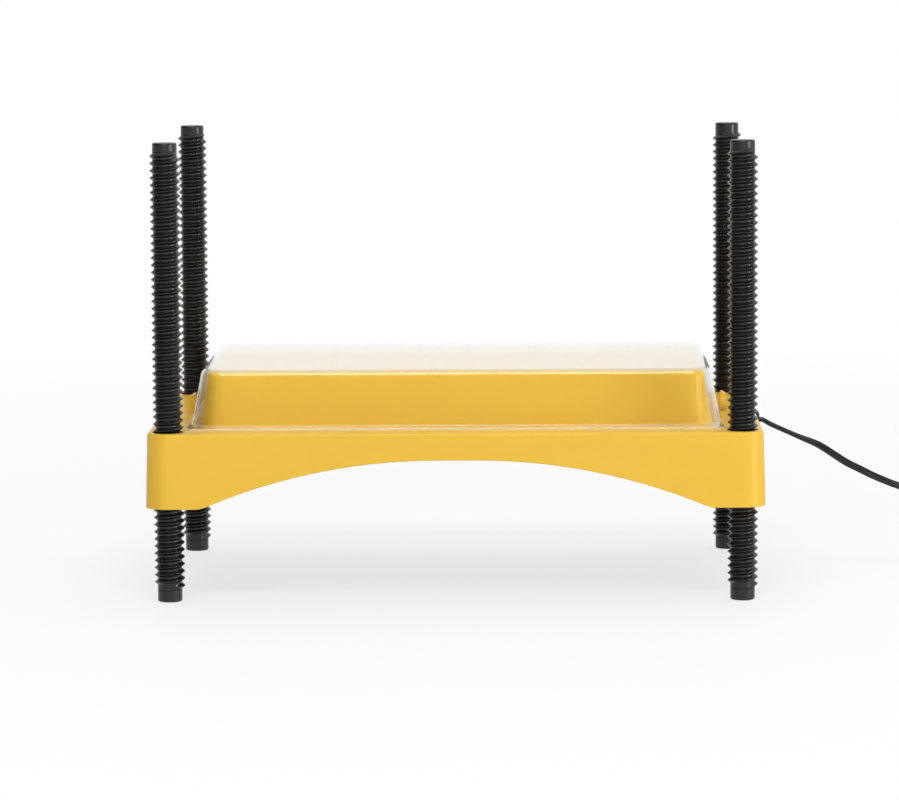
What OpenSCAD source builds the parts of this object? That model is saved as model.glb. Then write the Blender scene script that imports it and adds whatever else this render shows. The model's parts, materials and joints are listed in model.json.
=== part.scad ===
// Brooder heating plate: a warm plate hung in a moulded frame on four screw legs.
// A clear cover lifts off the raised tray, and a low-voltage lead runs to a plug-in adaptor.
// Millimetres, +Z up, origin on the floor under the middle of the frame, front towards -Y.

/* [Frame] */
// Outside width of the frame, left to right
frame_w = 300; // [290:2:400]
// Outside depth of the frame, front to back
frame_d = 200; // [190:2:280]
// Height of the apron from its feet to the deck
apron_h = 36.5; // [35:0.5:50]
// How far each side of the apron leans in from its feet to the deck
apron_lean = 1; // [0:0.1:1.2]
// Height of the apron's feet above the floor
stand_h = 46; // [40:0.5:120]
// Wall thickness of the moulding
shell_wall = 2.5; // [2:0.1:3]
// Corner radius of the frame, and so the distance of a leg's axis from the outside
corner_r = 11.2; // [10.5:0.1:12]
// Rounding of the frame's top edge
rim_fillet = 1.5; // [0.5:0.1:2]
// Rise of the arches at their crown
arch_rise = 23.3; // [12:0.1:25]
// Length of the flat foot left at each end of an arch
arch_foot = 26.9; // [22:0.1:40]
// Rounding where an arch meets its flat foot
arch_blend = 12; // [4:1:20]
// Level stretch at the crown of the front and back arches
arch_flat = 20; // [10:1:80]
// Level stretch at the crown of the side arches
side_arch_flat = 20; // [5:1:40]

/* [Tray] */
// Height of the tray above the deck
tray_h = 26; // [20:0.5:40]
// How far each wall leans in from foot to top
tray_lean = 4; // [1:0.1:6]
// Corner radius of the tray at its foot
tray_corner_r = 12; // [10:0.5:20]
// Rounding of the tray's top edge
tray_fillet = 2; // [1:0.1:4]
// Number of ribs under the tray's top
rib_count = 4; // [2:1:6]
// Thickness of a rib
rib_t = 1.8; // [1.2:0.1:2.5]

/* [Clear cover] */
// Wall thickness of the cover
cover_wall = 1.2; // [0.8:0.1:1.6]
// Gap between the tray and the cover at the foot
cover_gap = 3.1; // [2:0.1:3.5]
// Gap between the top of the tray and the cover
cover_headroom = 0.6; // [0.4:0.1:4]
// How far each cover wall leans in from foot to top
cover_lean = 5.3; // [2:0.1:6]
// Rounding of the cover's top edge
cover_fillet = 3.2; // [2:0.1:6]
// Gap between the flange and the legs, at the two ends of the cover
flange_leg_gap = 1; // [0.8:0.1:2]
// Distance of the flange from the front and back of the frame
flange_inset = 14; // [10:0.5:20]
// Width of the flange at the two ends of the cover
flange_end = 1; // [0.5:0.1:1.4]
// Width of the flange along the front and back of the cover
flange_front = 11.7; // [6:0.1:15]
// Corner radius of the flange
flange_r = 3; // [1:0.5:6]
// Width, front to back, of the keepers that the ends of the cover sit between
keeper_w = 10; // [8:0.5:14]
// Height of a keeper above the deck
keeper_h = 9.5; // [7:0.5:12]
// Thickness of a keeper
keeper_t = 2.8; // [2.5:0.1:4]
// Gap between the cover's flange and a keeper
keeper_gap = 0.9; // [0.6:0.1:1.2]

/* [Screw legs] */
// Length of a leg with its foot
leg_len = 222.5; // [190:0.5:260]
// Diameter of a leg at the root of its ridges
leg_root_d = 11.7; // [11:0.1:12.5]
// Diameter of a leg over its ridges
leg_crest_d = 14.4; // [13.4:0.1:15]
// Distance from one ridge to the next
thread_pitch = 3.5; // [3:0.05:5]
// Axial width of a ridge at its root
ridge_base = 2.5; // [2:0.05:2.8]
// Axial width of a ridge at its crest
ridge_crest = 0.5; // [0.3:0.05:1]
// Length of the plain tip at each end of a leg
tip_len = 6; // [4:0.5:10]
// Bevel round the end of a tip
tip_bevel = 0.8; // [0.3:0.1:1.5]
// Clearance between a ridge and the bore in the frame
leg_play = 0.3; // [0.2:0.05:0.4]
// Bore down the middle of a leg
leg_bore_d = 6.5; // [5:0.1:7.5]
// Length of the foot's stem inside the leg
foot_stem = 10; // [6:0.5:16]
// Clearance round the foot's stem
foot_play = 0.15; // [0.1:0.05:0.3]

/* [Heater] */
// Height of the hollow between the plate and the deck
hollow_h = 7.8; // [7.5:0.1:9]
// Thickness of the warm plate
plate_t = 2.5; // [2:0.1:3]
// Clearance round the edge of the warm plate
plate_play = 0.5; // [0.3:0.1:1]
// Height of the lip round the warm plate
lip_h = 2; // [1:0.1:2.2]
// Thickness of the lip
lip_t = 2; // [1.5:0.1:3]
// Thickness of the aluminium heat spreader
spreader_t = 1; // [0.8:0.1:1.5]
// Thickness of the element's film
film_t = 0.4; // [0.3:0.05:0.6]
// Thickness of the resistive track
track_t = 0.4; // [0.3:0.05:0.6]
// Width of the resistive track
track_w = 4; // [2:0.1:6]
// Number of runs of the track, an even number
track_runs = 10; // [6:2:12]
// Thickness of the insulation pad
pad_t = 16; // [10:0.5:18]
// Depth of the wiring bay cut in the insulation pad, front to back
bay_d = 64; // [58:1:80]
// Length of the wiring bay, measured from the pad's right edge
bay_w = 62; // [60:1:80]

/* [Fasteners] */
// Diameter of a screw boss
boss_d = 7; // [6:0.1:8]
// Shank diameter of a plate screw
screw_d = 2.9; // [2.5:0.1:3.2]
// Head diameter of a plate screw
screw_head_d = 5.6; // [5:0.1:6.4]
// Height of a screw's sunk head
screw_head_h = 1.6; // [1.2:0.1:1.8]
// Length of a plate screw under its head
screw_len = 7; // [5:0.5:8]
// Clearance round a screw
screw_play = 0.1; // [0.05:0.05:0.2]
// Distance of the outer front bosses from the middle, as a share of the tray's width
boss_share_x = 0.4; // [0.3:0.01:0.44]
// Distance of the side bosses from the middle, as a share of the tray's depth
boss_share_y = 0.32; // [0.2:0.01:0.4]

/* [Cord entry] */
// Depth of the cord's axis below the deck
cord_drop = 5; // [4.8:0.1:5.2]
// Width of the cord, a flat twin lead
cord_w = 3.7; // [3:0.1:4]
// Thickness of the cord
cord_t = 2.4; // [2:0.1:2.6]
// Diameter of the strain relief's neck
neck_d = 6; // [5:0.1:6.2]
// Diameter of the strain relief's outer collar
collar_d = 8; // [7:0.1:8.4]
// Thickness of the outer collar
collar_t = 2; // [1:0.1:3]
// Width of the strain relief's inner block, front to back
block_w = 14; // [12:0.5:15]
// Thickness of the clamp bar under that block
bar_t = 2; // [1.5:0.1:2.2]

/* [Wiring] */
// Diameter of an inner wire
wire_d = 1.6; // [1.2:0.1:2]
// Diameter of the thermal cutout's cap
cutout_d = 15; // [12:0.5:16]
// Height of the thermal cutout's cap
cutout_h = 9; // [6:0.5:10]
// Height of the terminal block
terminal_h = 13; // [11:0.5:14]
// Thickness of the sheet under the terminal block
sheet_t = 1.2; // [0.8:0.1:1.5]

/* [Lead and adaptor] */
// Mean diameter of the coil of spare lead
coil_d = 38.6; // [36:0.2:44]
// Turns in one layer of the coil
coil_turns = 3; // [2:1:3]
// Clear gap between the turns of the coil
coil_gap = 0.55; // [0.5:0.05:0.8]
// Thickness of the tie round the coil
tie_t = 0.8; // [0.6:0.1:1.2]
// Width of the tie
tie_w = 6; // [4:0.5:10]
// Width of the adaptor
adaptor_w = 45; // [38:0.5:54]
// Length of the adaptor, without its boot
adaptor_l = 62; // [54:0.5:64]
// Height of the adaptor
adaptor_h = 30; // [24:0.5:36]
// Distance between the adaptor's two blades
blade_gap = 12.7; // [12:0.1:14]
// Width of a blade
blade_w = 6.3; // [5:0.1:7]
// Thickness of a blade
blade_t = 1.5; // [1.2:0.1:2]
// Length of a blade
blade_l = 17; // [14:0.5:20]

/* [Hidden] */
$fn = 64;
eps = 0.01;
z_deck = stand_h + apron_h;
z_ceiling = z_deck - shell_wall;
z_plate_top = z_ceiling - hollow_h;
z_plate = z_plate_top - plate_t;
z_spreader = z_plate_top + spreader_t;
z_film = z_spreader + film_t;
z_track = z_film + track_t;
z_tray = z_deck + tray_h;
z_cord = z_deck - cord_drop;

leg_x = frame_w / 2 - corner_r;
leg_y = frame_d / 2 - corner_r;
apron_slope = apron_lean / apron_h;
post_r = corner_r - apron_lean;
legs = [[-leg_x, -leg_y], [leg_x, -leg_y], [-leg_x, leg_y], [leg_x, leg_y]];
ridges = floor((leg_len - 2 * tip_len - ridge_base) / thread_pitch) + 1;
ridge_start = tip_len + (leg_len - 2 * tip_len - (ridges - 1) * thread_pitch) / 2;

// The tray fills what the legs, the cover and its flange leave free
tray_w = 2 * (leg_x - leg_crest_d / 2 - flange_leg_gap - flange_end - cover_wall - cover_gap);
tray_d = frame_d - 2 * (flange_inset + flange_front + cover_wall + cover_gap);

// Corner centres shared by the tray and its cover
tray_cx = tray_w / 2 - tray_corner_r;
tray_cy = tray_d / 2 - tray_corner_r;
tray_slope = tray_lean / tray_h;
cover_foot_r = tray_corner_r + cover_gap + cover_wall;
cover_h = tray_h + cover_headroom + cover_wall;
cover_slope = cover_lean / cover_h;
flange_x = tray_w / 2 + cover_gap + cover_wall + flange_end;
keeper_x = flange_x + keeper_gap;
keeper_fall = 1.2;
keeper_lead = 0.8;
flange_y = tray_d / 2 + cover_gap + cover_wall + flange_front;

// Bosses for the plate screws, in the middle of the strip between tray and apron
boss_x = boss_share_x * tray_w;
boss_y = boss_share_y * tray_d;
strip_x = (tray_w / 2 + frame_w / 2 - shell_wall) / 2;
strip_y = (tray_d / 2 + frame_d / 2 - shell_wall) / 2;
bosses = concat(
    [for (x = [-boss_x, 0, boss_x], y = [-strip_y, strip_y]) [x, y]],
    [for (x = [-strip_x, strip_x], y = [-boss_y, boss_y]) [x, y]]
);

// The heater stack
spreader_inset = 1;
spreader_r = 6;
spreader_x = tray_w / 2 - spreader_inset;
spreader_y = tray_d / 2 - spreader_inset;
pad_r = 5;
pad_x = tray_w / 2 - shell_wall - tray_lean;
pad_y = tray_d / 2 - shell_wall - tray_lean;
bay_left = pad_x - bay_w;
film_margin = 3;
film_reach = 14;
film_right = bay_left + film_reach;
tab_inset = 6;
tab_x = film_right - tab_inset - track_w / 2;
tab_y = 20;
turn_room = 8;
track_left = -spreader_x + film_margin + turn_room;
track_right = bay_left - turn_room;
track_y = spreader_y - film_margin - track_w;
track_step = 2 * track_y / (track_runs - 1);

// Strain relief and clamp, placed from the frame's right face
wall_in = frame_w / 2 - shell_wall;
wall_out = frame_w / 2 - apron_slope * (z_cord - collar_d / 2 - stand_h);
block_l = 7;
block_back = 4.5;
block_floor = 1.6;
block_play = 0.3;
block_x1 = wall_in - block_back;
block_x0 = block_x1 - block_l;
block_x = (block_x0 + block_x1) / 2;
block_top = z_ceiling - block_play;
block_bottom = z_cord - cord_t / 2 - block_floor;
clamp_reach = 3.5;
clamp_y = block_w / 2 + clamp_reach;
clamp_boss_r = 3;
clamp_screw_r = 1;
clamp_head_r = 2;
clamp_head_h = 1.2;
clamp_grip = 4;
bar_inset = 0.5;

// The wiring bay
bay_right = pad_x - 2;
cutout_x = pad_x - 21;
cutout_y = 16;
cutout_foot = 12;
bracket_t = 0.8;
bracket_l = 2 * cutout_foot + 5;
bracket_w = 7;
bracket_r = 2;
bracket_rim = 1.2;
rivet_d = 2.4;
rivet_head_d = 4;
rivet_head_h = 0.9;
small_play = 0.1;
sheet_play = 0.5;
cutout_blade = [4, 0.8, 6];
cutout_blade_y = 5;
terminal_x = pad_x - 20;
terminal_y = -14;
terminal_l = 20;
terminal_w = 16;
terminal_pitch = 8;
terminal_well = 4;
terminal_screw_d = 4;
terminal_screw_h = 2.4;
terminal_slot = 0.8;
wire_level = 0.45;
terminal_right = terminal_x + terminal_l / 2;
terminal_left = terminal_x - terminal_l / 2;
z_terminal = z_spreader + sheet_t;
z_wire = z_terminal + terminal_h * wire_level;
z_blade = z_spreader + cutout_h + cutout_blade[2] - 2;
z_tab = z_track + wire_d / 2 + small_play / 2;

// Routes, as points that the wires and the lead follow
inner_cord_route = [
    [block_x0, 0, z_cord], [block_x0 - 5, 0, z_cord], [block_x0 - 9, -1, z_cord],
    [block_x0 - 13, -4, z_cord], [terminal_right + 10, -8.5, z_cord + 1],
    [terminal_right + 6.5, -12, z_wire - 0.5], [terminal_right + 3.5, terminal_y, z_wire],
    [terminal_right, terminal_y, z_wire]
];
return_route = [
    [terminal_left, terminal_y - terminal_pitch / 2, z_wire],
    [terminal_left - 5, terminal_y - terminal_pitch / 2, z_wire],
    [tab_x + 14, -19, z_wire - 3], [tab_x + 8, -tab_y, z_tab + 1], [tab_x + 4, -tab_y, z_tab],
    [tab_x, -tab_y, z_tab]
];
line_route = [
    [terminal_left, terminal_y + terminal_pitch / 2, z_wire],
    [terminal_left - 4, terminal_y + terminal_pitch / 2, z_wire],
    [cutout_x - 15, -3, z_wire + 2], [cutout_x - 15, 5, z_blade - 1],
    [cutout_x - 11, cutout_y - cutout_blade_y, z_blade],
    [cutout_x - 6, cutout_y - cutout_blade_y, z_blade],
    [cutout_x - cutout_blade[0] / 2, cutout_y - cutout_blade_y, z_blade]
];
element_route = [
    [cutout_x - cutout_blade[0] / 2, cutout_y + cutout_blade_y, z_blade],
    [cutout_x - 6, cutout_y + cutout_blade_y, z_blade], [cutout_x - 14, cutout_y + 4.5, z_blade - 3],
    [tab_x + 12, tab_y, z_tab + 4], [tab_x + 8, tab_y, z_tab + 1], [tab_x + 4, tab_y, z_tab],
    [tab_x, tab_y, z_tab]
];
lead_start = wall_out + collar_t;
// Along the lead: distance from its start, distance from the middle, share of the height left
lead_shape = [
    [5, 0, 0.973], [11.5, 0, 0.933], [20.5, 0, 0.88], [29, 0, 0.833], [34, 0, 0.793], [38.5, 0, 0.753],
    [44, 0, 0.706], [50, 0, 0.666], [57, 0, 0.619], [65, 0, 0.573], [73, -0.5, 0.533], [82, -3, 0.479],
    [91, -7.5, 0.419], [100, -13, 0.346], [109, -18.5, 0.259], [117, -23.5, 0.172],
    [125, -28, 0.092], [132, -30.5, 0.039], [139, -32, 0.005]
];

// The coil of spare lead: in and out again, in four layers, each turn one step from the next
tie_play = 0.6;
tie_lift = 0.1;
coil_z = tie_t + tie_play + cord_t / 2;
coil_layers = 4;
coil_rings = 24;
coil_step = cord_w + coil_gap;
coil_rise = cord_t + coil_gap;
coil_out = coil_d / 2 + coil_step * coil_turns / 2;
coil_in = coil_out - coil_step * coil_turns;
lead_reach = 152;
coil_foot = [lead_start + lead_reach, -32.5];
coil_centre = coil_foot + [0, coil_out];
coil_end_turns = coil_layers * coil_turns + 0.25;
function coil_phase(t) = t % (2 * coil_turns);
function coil_radius(t) = t > coil_layers * coil_turns
    ? coil_out + coil_step * (t - coil_layers * coil_turns)
    : coil_phase(t) < coil_turns ? coil_out - coil_step * coil_phase(t)
    : coil_in + coil_step * (coil_phase(t) - coil_turns);
function climb(t, k) = min(1, max(0, (t - k * coil_turns + 0.25) / 0.5));
function coil_height(t) = coil_z
    + coil_rise * (climb(t, 1) + climb(t, 2) + climb(t, 3));
function coil_point(t) = [
    coil_centre[0] + coil_radius(t) * cos(360 * t - 90),
    coil_centre[1] + coil_radius(t) * sin(360 * t - 90),
    coil_height(t)
];
coil_count = coil_end_turns * coil_rings;
coil_turn_points = [for (i = [0:coil_count]) coil_point(i / coil_rings)];
coil_tail = coil_turn_points[coil_count] + [0, cord_w, 0];
coil_route = concat(
    [coil_turn_points[0] - [cord_w, 0, 0]], coil_turn_points, [coil_tail]
);
coil_top = coil_z + coil_rise * (coil_layers - 1) + cord_t / 2;
lead_route = concat(
    [[lead_start, 0, z_cord], [lead_start + 1.5, 0, z_cord]],
    [for (p = lead_shape) [lead_start + p[0], p[1], coil_z + (z_cord - coil_z) * p[2]]],
    [coil_route[0] - [4, 0, 0], coil_route[0]]
);
tube_sides = 8;
coil_sides = 6;
tie_angle = 150;

// The adaptor lies past the coil, in line with the tail of the lead
adaptor_x = coil_tail[0];
boot_l = 12;
boot_y = 17;
z_boot = adaptor_h * 0.4;
adaptor_y = boot_y + boot_l;
adaptor_r = 6;
adaptor_lean = 1;
adaptor_fillet = 2.5;
boot_grip = 0.7;
boot_flare = 2.4;
blade_root = 4;
blade_play = 0.05;
blade_y = adaptor_y + adaptor_l * 0.62;
parting = adaptor_h / 2;
tail_route = [
    coil_tail, coil_tail + [0, 4, 0], [adaptor_x, boot_y - 9, z_boot - 0.4],
    [adaptor_x, boot_y - 4, z_boot], [adaptor_x, boot_y, z_boot]
];

yellow = "#ECC048";
black = "#242424";
clear = [0.85, 0.92, 0.95, 0.35];
metal = "#B8BCC0";

// A profile, drawn from u = 0 outwards, swept round a rectangle of corner centres
module loop_sweep(cx, cy) {
    corners = [[cx, cy], [-cx, cy], [-cx, -cy], [cx, -cy]];
    for (i = [0:3]) {
        translate(corners[i]) rotate(90 * i) rotate_extrude(angle = 90) children();
        translate(corners[i]) rotate(90 * i) rotate([90, 0, 0])
            linear_extrude(height = i % 2 == 0 ? 2 * cy : 2 * cx) children();
    }
}

// Half of an upright section: a wall that leans in, with a rounded top edge
module leaning_profile(foot, slope, z0, z1, fillet) {
    lean = atan(slope);
    z_c = z1 - fillet;
    u_c = foot - slope * (z_c - z0) - fillet / cos(lean);
    polygon([
        [0, z0], [foot, z0], [u_c + fillet * cos(lean), z_c + fillet * sin(lean)],
        [u_c, z1], [0, z1]
    ]);
    translate([u_c, z_c]) circle(fillet);
}

// A solid block with leaning walls, round corners and a rounded top edge
module leaning_block(w, d, r, slope, z0, z1, fillet) {
    cx = w / 2 - r;
    cy = d / 2 - r;
    loop_sweep(cx, cy) leaning_profile(r, slope, z0, z1, fillet);
    translate([-cx, -cy, z0]) cube([2 * cx, 2 * cy, z1 - z0]);
}

// A flat rectangle with round corners
module round_rect(w, d, r) {
    square([w - 2 * r, d], center = true);
    square([w, d - 2 * r], center = true);
    for (x = [-1, 1], y = [-1, 1]) translate([x * (w / 2 - r), y * (d / 2 - r)]) circle(r);
}

// The opening under one arch: two arcs with a level stretch between them
module arch(span, flat) {
    run = (span - flat) / 2;
    r = (run * run + arch_rise * arch_rise) / (2 * arch_rise);
    crown = stand_h + arch_rise;
    blend_z = stand_h + arch_blend;
    blend_x = flat / 2 + sqrt((r + arch_blend) ^ 2 - (blend_z - crown + r) ^ 2);
    translate([-flat / 2, crown - r]) square([flat, r]);
    for (side = [0, 1]) mirror([side, 0]) {
        translate([flat / 2, crown - r]) circle(r, $fn = 180);
        difference() {
            polygon([[flat / 2, crown - r], [blend_x, crown - r], [blend_x, blend_z]]);
            translate([blend_x, blend_z]) circle(arch_blend);
        }
    }
}

// The corners of a tube's section at one point of its route
function unit(v) = v / norm(v);
function ring(route, i, w, t, sides) = let (
    ahead = unit(route[min(i + 1, len(route) - 1)] - route[max(i - 1, 0)]),
    across = unit(cross(ahead, [0, 0, 1])),
    over = cross(across, ahead)
) [
    for (k = [0:sides - 1]) let (a = 360 * k / sides)
        route[i] + across * w / 2 * cos(a) + over * t / 2 * sin(a)
];

// The least gap between the turns of a coil, on its sections' corners and the middles of their sides
function ring_points(route, i, w, t, sides) = let (corners = ring(route, i, w, t, sides))
    concat(corners, [for (k = [0:sides - 1]) (corners[k] + corners[(k + 1) % sides]) / 2]);
function least_gap(route, w, t, sides, turn) = let (
    points = [for (i = [0:len(route) - 1]) ring_points(route, i, w, t, sides)],
    near = 2 * coil_turns + 1
) min([
    for (i = [0:len(route) - 1], k = [1:near], d = [-1:1]) let (j = i + k * turn + d) if (j < len(route))
        for (p = points[i], q = points[j]) norm(p - q)
]);

// A tube of flat section swept along a route, as one closed skin of triangles
module tube(route, w, t, sides) {
    n = len(route);
    skin = [
        for (i = [0:n - 2], k = [0:sides - 1]) let (a = i * sides, b = a + sides, m = (k + 1) % sides)
            each [[a + k, a + m, b + k], [a + m, b + m, b + k]]
    ];
    caps = [
        for (k = [1:sides - 2], i = [0, 1]) let (a = i * (n - 1) * sides)
            i == 0 ? [a, a + k + 1, a + k] : [a, a + k, a + k + 1]
    ];
    polyhedron([for (i = [0:n - 1]) each ring(route, i, w, t, sides)], concat(skin, caps));
}

// The frame's outer ring: the apron with the edge of the deck, round on top
module frame_profile() {
    difference() {
        leaning_profile(corner_r, apron_slope, stand_h, z_deck, rim_fillet);
        polygon([
            [-eps, stand_h - 1], [corner_r - shell_wall + apron_slope, stand_h - 1],
            [corner_r - shell_wall - apron_slope * (apron_h - shell_wall), z_ceiling], [-eps, z_ceiling]
        ]);
    }
}

module tray_profile() {
    difference() {
        leaning_profile(tray_corner_r, tray_slope, z_deck, z_tray, tray_fillet);
        translate([-eps, 0]) leaning_profile(
            tray_corner_r - shell_wall + eps, tray_slope, z_deck, z_tray - shell_wall, tray_fillet / 2);
        translate([-eps, z_deck - 1]) square([tray_corner_r - shell_wall, 1 + eps]);
    }
}

// An upright keeper on each end of the deck, which stops the cover from sliding
module keepers() {
    for (side = [0, 1]) mirror([side, 0, 0]) rotate([90, 0, 0])
        linear_extrude(height = keeper_w, center = true) polygon([
            [keeper_x, z_deck - eps], [keeper_x + keeper_t, z_deck - eps],
            [keeper_x + keeper_t, z_deck + keeper_h - keeper_fall], [keeper_x + keeper_lead, z_deck + keeper_h],
            [keeper_x, z_deck + keeper_h - keeper_lead]
        ]);
}

module top_shell() color(yellow) difference() {
    union() {
        loop_sweep(leg_x, leg_y) frame_profile();
        translate([0, 0, z_ceiling]) linear_extrude(height = shell_wall) difference() {
            square([2 * leg_x, 2 * leg_y], center = true);
            round_rect(tray_w - 2 * shell_wall, tray_d - 2 * shell_wall, tray_corner_r - shell_wall);
        }
        loop_sweep(tray_cx, tray_cy) tray_profile();
        translate([-tray_cx, -tray_cy, z_tray - shell_wall]) cube([2 * tray_cx, 2 * tray_cy, shell_wall]);
        for (p = legs) translate([p[0], p[1], stand_h])
            cylinder(r = post_r, h = apron_h - shell_wall + eps);
        for (p = bosses) translate([p[0], p[1], z_plate_top]) cylinder(d = boss_d, h = hollow_h + eps);
        for (y = [-1, 1]) translate([block_x, y * clamp_y, block_bottom])
            cylinder(r = clamp_boss_r, h = z_ceiling - block_bottom + eps);
        tray_ribs();
        keepers();
    }
    rotate([90, 0, 0]) linear_extrude(height = frame_d + 2, center = true)
        arch(frame_w - 2 * arch_foot, arch_flat);
    rotate([90, 0, 90]) linear_extrude(height = frame_w + 2, center = true)
        arch(frame_d - 2 * arch_foot, side_arch_flat);
    for (p = legs) translate([p[0], p[1], stand_h - 1])
        cylinder(d = leg_crest_d + 2 * leg_play, h = apron_h + 2);
    for (p = bosses) translate([p[0], p[1], z_plate_top - 1])
        cylinder(d = screw_d + 2 * screw_play, h = screw_len - plate_t + screw_head_h + 2);
    for (y = [-1, 1]) translate([block_x, y * clamp_y, block_bottom - 1])
        cylinder(r = clamp_screw_r + screw_play, h = z_ceiling - block_bottom);
    translate([block_x1, 0, z_cord]) rotate([0, 90, 0])
        cylinder(d = neck_d + 2 * block_play, h = frame_w / 2 - block_x1 + 1);
}

// Ribs that hold the insulation pad down
module tray_ribs() {
    rib_bottom = z_track + pad_t;
    spacing = (bay_left + pad_x) / rib_count;
    for (i = [0.5:rib_count - 0.5]) translate([-pad_x + i * spacing - rib_t / 2, -pad_y, rib_bottom])
        cube([rib_t, 2 * pad_y, z_tray - shell_wall - rib_bottom + eps]);
}

module clear_cover() color(clear) {
    loop_sweep(tray_cx, tray_cy) difference() {
        leaning_profile(cover_foot_r, cover_slope, z_deck, z_deck + cover_h, cover_fillet);
        translate([-eps, 0]) leaning_profile(
            cover_foot_r - cover_wall + eps, cover_slope, z_deck, z_deck + cover_h - cover_wall,
            cover_fillet - cover_wall);
        translate([-eps, z_deck - 1]) square([cover_foot_r - cover_wall, 1 + eps]);
    }
    translate([-tray_cx, -tray_cy, z_deck + cover_h - cover_wall])
        cube([2 * tray_cx, 2 * tray_cy, cover_wall]);
    translate([0, 0, z_deck]) linear_extrude(height = cover_wall) difference() {
        round_rect(2 * flange_x, 2 * flange_y, flange_r);
        round_rect(
            tray_w + 2 * cover_gap + cover_wall, tray_d + 2 * cover_gap + cover_wall,
            cover_foot_r - cover_wall / 2);
    }
}

// The warm plate's outline, with a notch round each leg
module plate_outline(inset) {
    edge = shell_wall + apron_slope * (z_plate_top + lip_h - stand_h) + plate_play + inset;
    difference() {
        square([frame_w - 2 * edge, frame_d - 2 * edge], center = true);
        for (p = legs) translate(p) circle(corner_r + plate_play + inset);
    }
}

module heater_plate() color(black) difference() {
    union() {
        translate([0, 0, z_plate]) linear_extrude(height = plate_t) plate_outline(0);
        translate([0, 0, z_plate_top]) linear_extrude(height = lip_h) difference() {
            plate_outline(0);
            plate_outline(lip_t);
        }
    }
    for (p = bosses) translate([p[0], p[1], z_plate])
        screw_shape(screw_d / 2, screw_head_d / 2, screw_head_h, plate_t + 1, screw_play);
}

// A screw with a sunk head, point up; play makes the hole that it sits in
module screw_shape(shank_r, head_r, head_h, length, play) {
    translate([0, 0, -play]) cylinder(r1 = head_r + play, r2 = shank_r + play, h = head_h + play);
    cylinder(r = shank_r + play, h = length);
}

module plate_screws() color(metal) for (p = bosses) translate([p[0], p[1], z_plate])
    screw_shape(screw_d / 2, screw_head_d / 2, screw_head_h, screw_head_h + screw_len, 0);

module heat_spreader() color(metal) translate([0, 0, z_plate_top]) linear_extrude(height = spreader_t)
    round_rect(2 * spreader_x, 2 * spreader_y, spreader_r);

module element_film() color("#C88A3C")
    translate([-spreader_x + film_margin, -spreader_y + film_margin, z_spreader])
        cube([film_right + spreader_x - film_margin, 2 * (spreader_y - film_margin), film_t]);

// The track goes to and fro, then along the right edge to its two tabs
module heater_track() color("#7A6A58") translate([0, 0, z_film]) linear_extrude(height = track_t) {
    for (i = [0:track_runs - 1]) {
        last = i == 0 || i == track_runs - 1;
        translate([track_left, -track_y + i * track_step - track_w / 2])
            square([(last ? tab_x : track_right) - track_left + track_w, track_w]);
    }
    for (i = [0:track_runs - 2])
        translate([i % 2 == 0 ? track_left : track_right, -track_y + i * track_step - track_w / 2])
            square([track_w, track_step + track_w]);
    for (y = [-1, 1]) translate([tab_x, min(y * tab_y, y * track_y) - track_w / 2])
        square([track_w, track_y - tab_y + track_w]);
}

module insulation_pad() color("#E8E2D0")
    translate([0, 0, z_track]) linear_extrude(height = pad_t) difference() {
        round_rect(2 * pad_x, 2 * pad_y, pad_r);
        translate([bay_left, -bay_d / 2]) square([bay_w + 1, bay_d]);
    }

module bay_sheet() color("#D8C8A0") difference() {
    translate([film_right + sheet_play, -bay_d / 2 + sheet_play, z_spreader])
        cube([bay_right - film_right - sheet_play, bay_d - 2 * sheet_play, sheet_t]);
    translate([cutout_x, cutout_y, z_spreader - 1]) linear_extrude(height = sheet_t + 2)
        round_rect(bracket_l + 2 * sheet_play, cutout_d + 2 * (bracket_rim + sheet_play), bracket_r);
}

module thermal_cutout() color("#3A2A20") {
    translate([cutout_x, cutout_y, z_spreader]) cylinder(d = cutout_d, h = cutout_h);
    for (y = [-1, 1]) translate([
        cutout_x - cutout_blade[0] / 2, cutout_y + y * cutout_blade_y - cutout_blade[1] / 2,
        z_spreader + cutout_h - eps
    ]) cube(cutout_blade);
}

module cutout_bracket() color(metal) difference() {
    translate([cutout_x, cutout_y, z_spreader]) linear_extrude(height = bracket_t) {
        round_rect(bracket_l, bracket_w, bracket_r);
        circle(d = cutout_d + 2 * bracket_rim);
    }
    translate([cutout_x, cutout_y, z_spreader - 1])
        cylinder(d = cutout_d + 2 * small_play, h = bracket_t + 2);
    for (x = [-1, 1]) translate([cutout_x + x * cutout_foot, cutout_y, z_spreader - 1])
        cylinder(d = rivet_d + 2 * small_play, h = bracket_t + 2);
}

module cutout_rivets() color("#D8DADC")
    for (x = [-1, 1]) translate([cutout_x + x * cutout_foot, cutout_y, z_spreader]) {
        cylinder(d = rivet_d, h = bracket_t);
        translate([0, 0, bracket_t]) cylinder(d1 = rivet_head_d, d2 = rivet_d, h = rivet_head_h);
    }

module terminal_block() color("#EDEBE4") difference() {
    translate([terminal_left, terminal_y - terminal_w / 2, z_terminal])
        cube([terminal_l, terminal_w, terminal_h]);
    terminal_wells() cylinder(d = terminal_screw_d + 4 * small_play, h = terminal_well + 1);
}

module terminal_screws() color("#C8A858") terminal_wells() difference() {
    cylinder(d = terminal_screw_d, h = terminal_screw_h);
    translate([-terminal_screw_d, -terminal_slot / 2, terminal_screw_h - terminal_slot])
        cube([2 * terminal_screw_d, terminal_slot, terminal_slot + 1]);
}

// Something in each of the terminal block's four wells
module terminal_wells() {
    for (y = [-1, 1], x = [-1, 1]) translate([
        terminal_x + x * terminal_l / 4, terminal_y + y * terminal_pitch / 2,
        z_terminal + terminal_h - terminal_well
    ]) children();
}

module line_wire() color("#A83228") tube(line_route, wire_d, wire_d, tube_sides);

module element_wire() color("#A83228") tube(element_route, wire_d, wire_d, tube_sides);

module return_wire() color("#2A3A60") tube(return_route, wire_d, wire_d, tube_sides);

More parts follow.
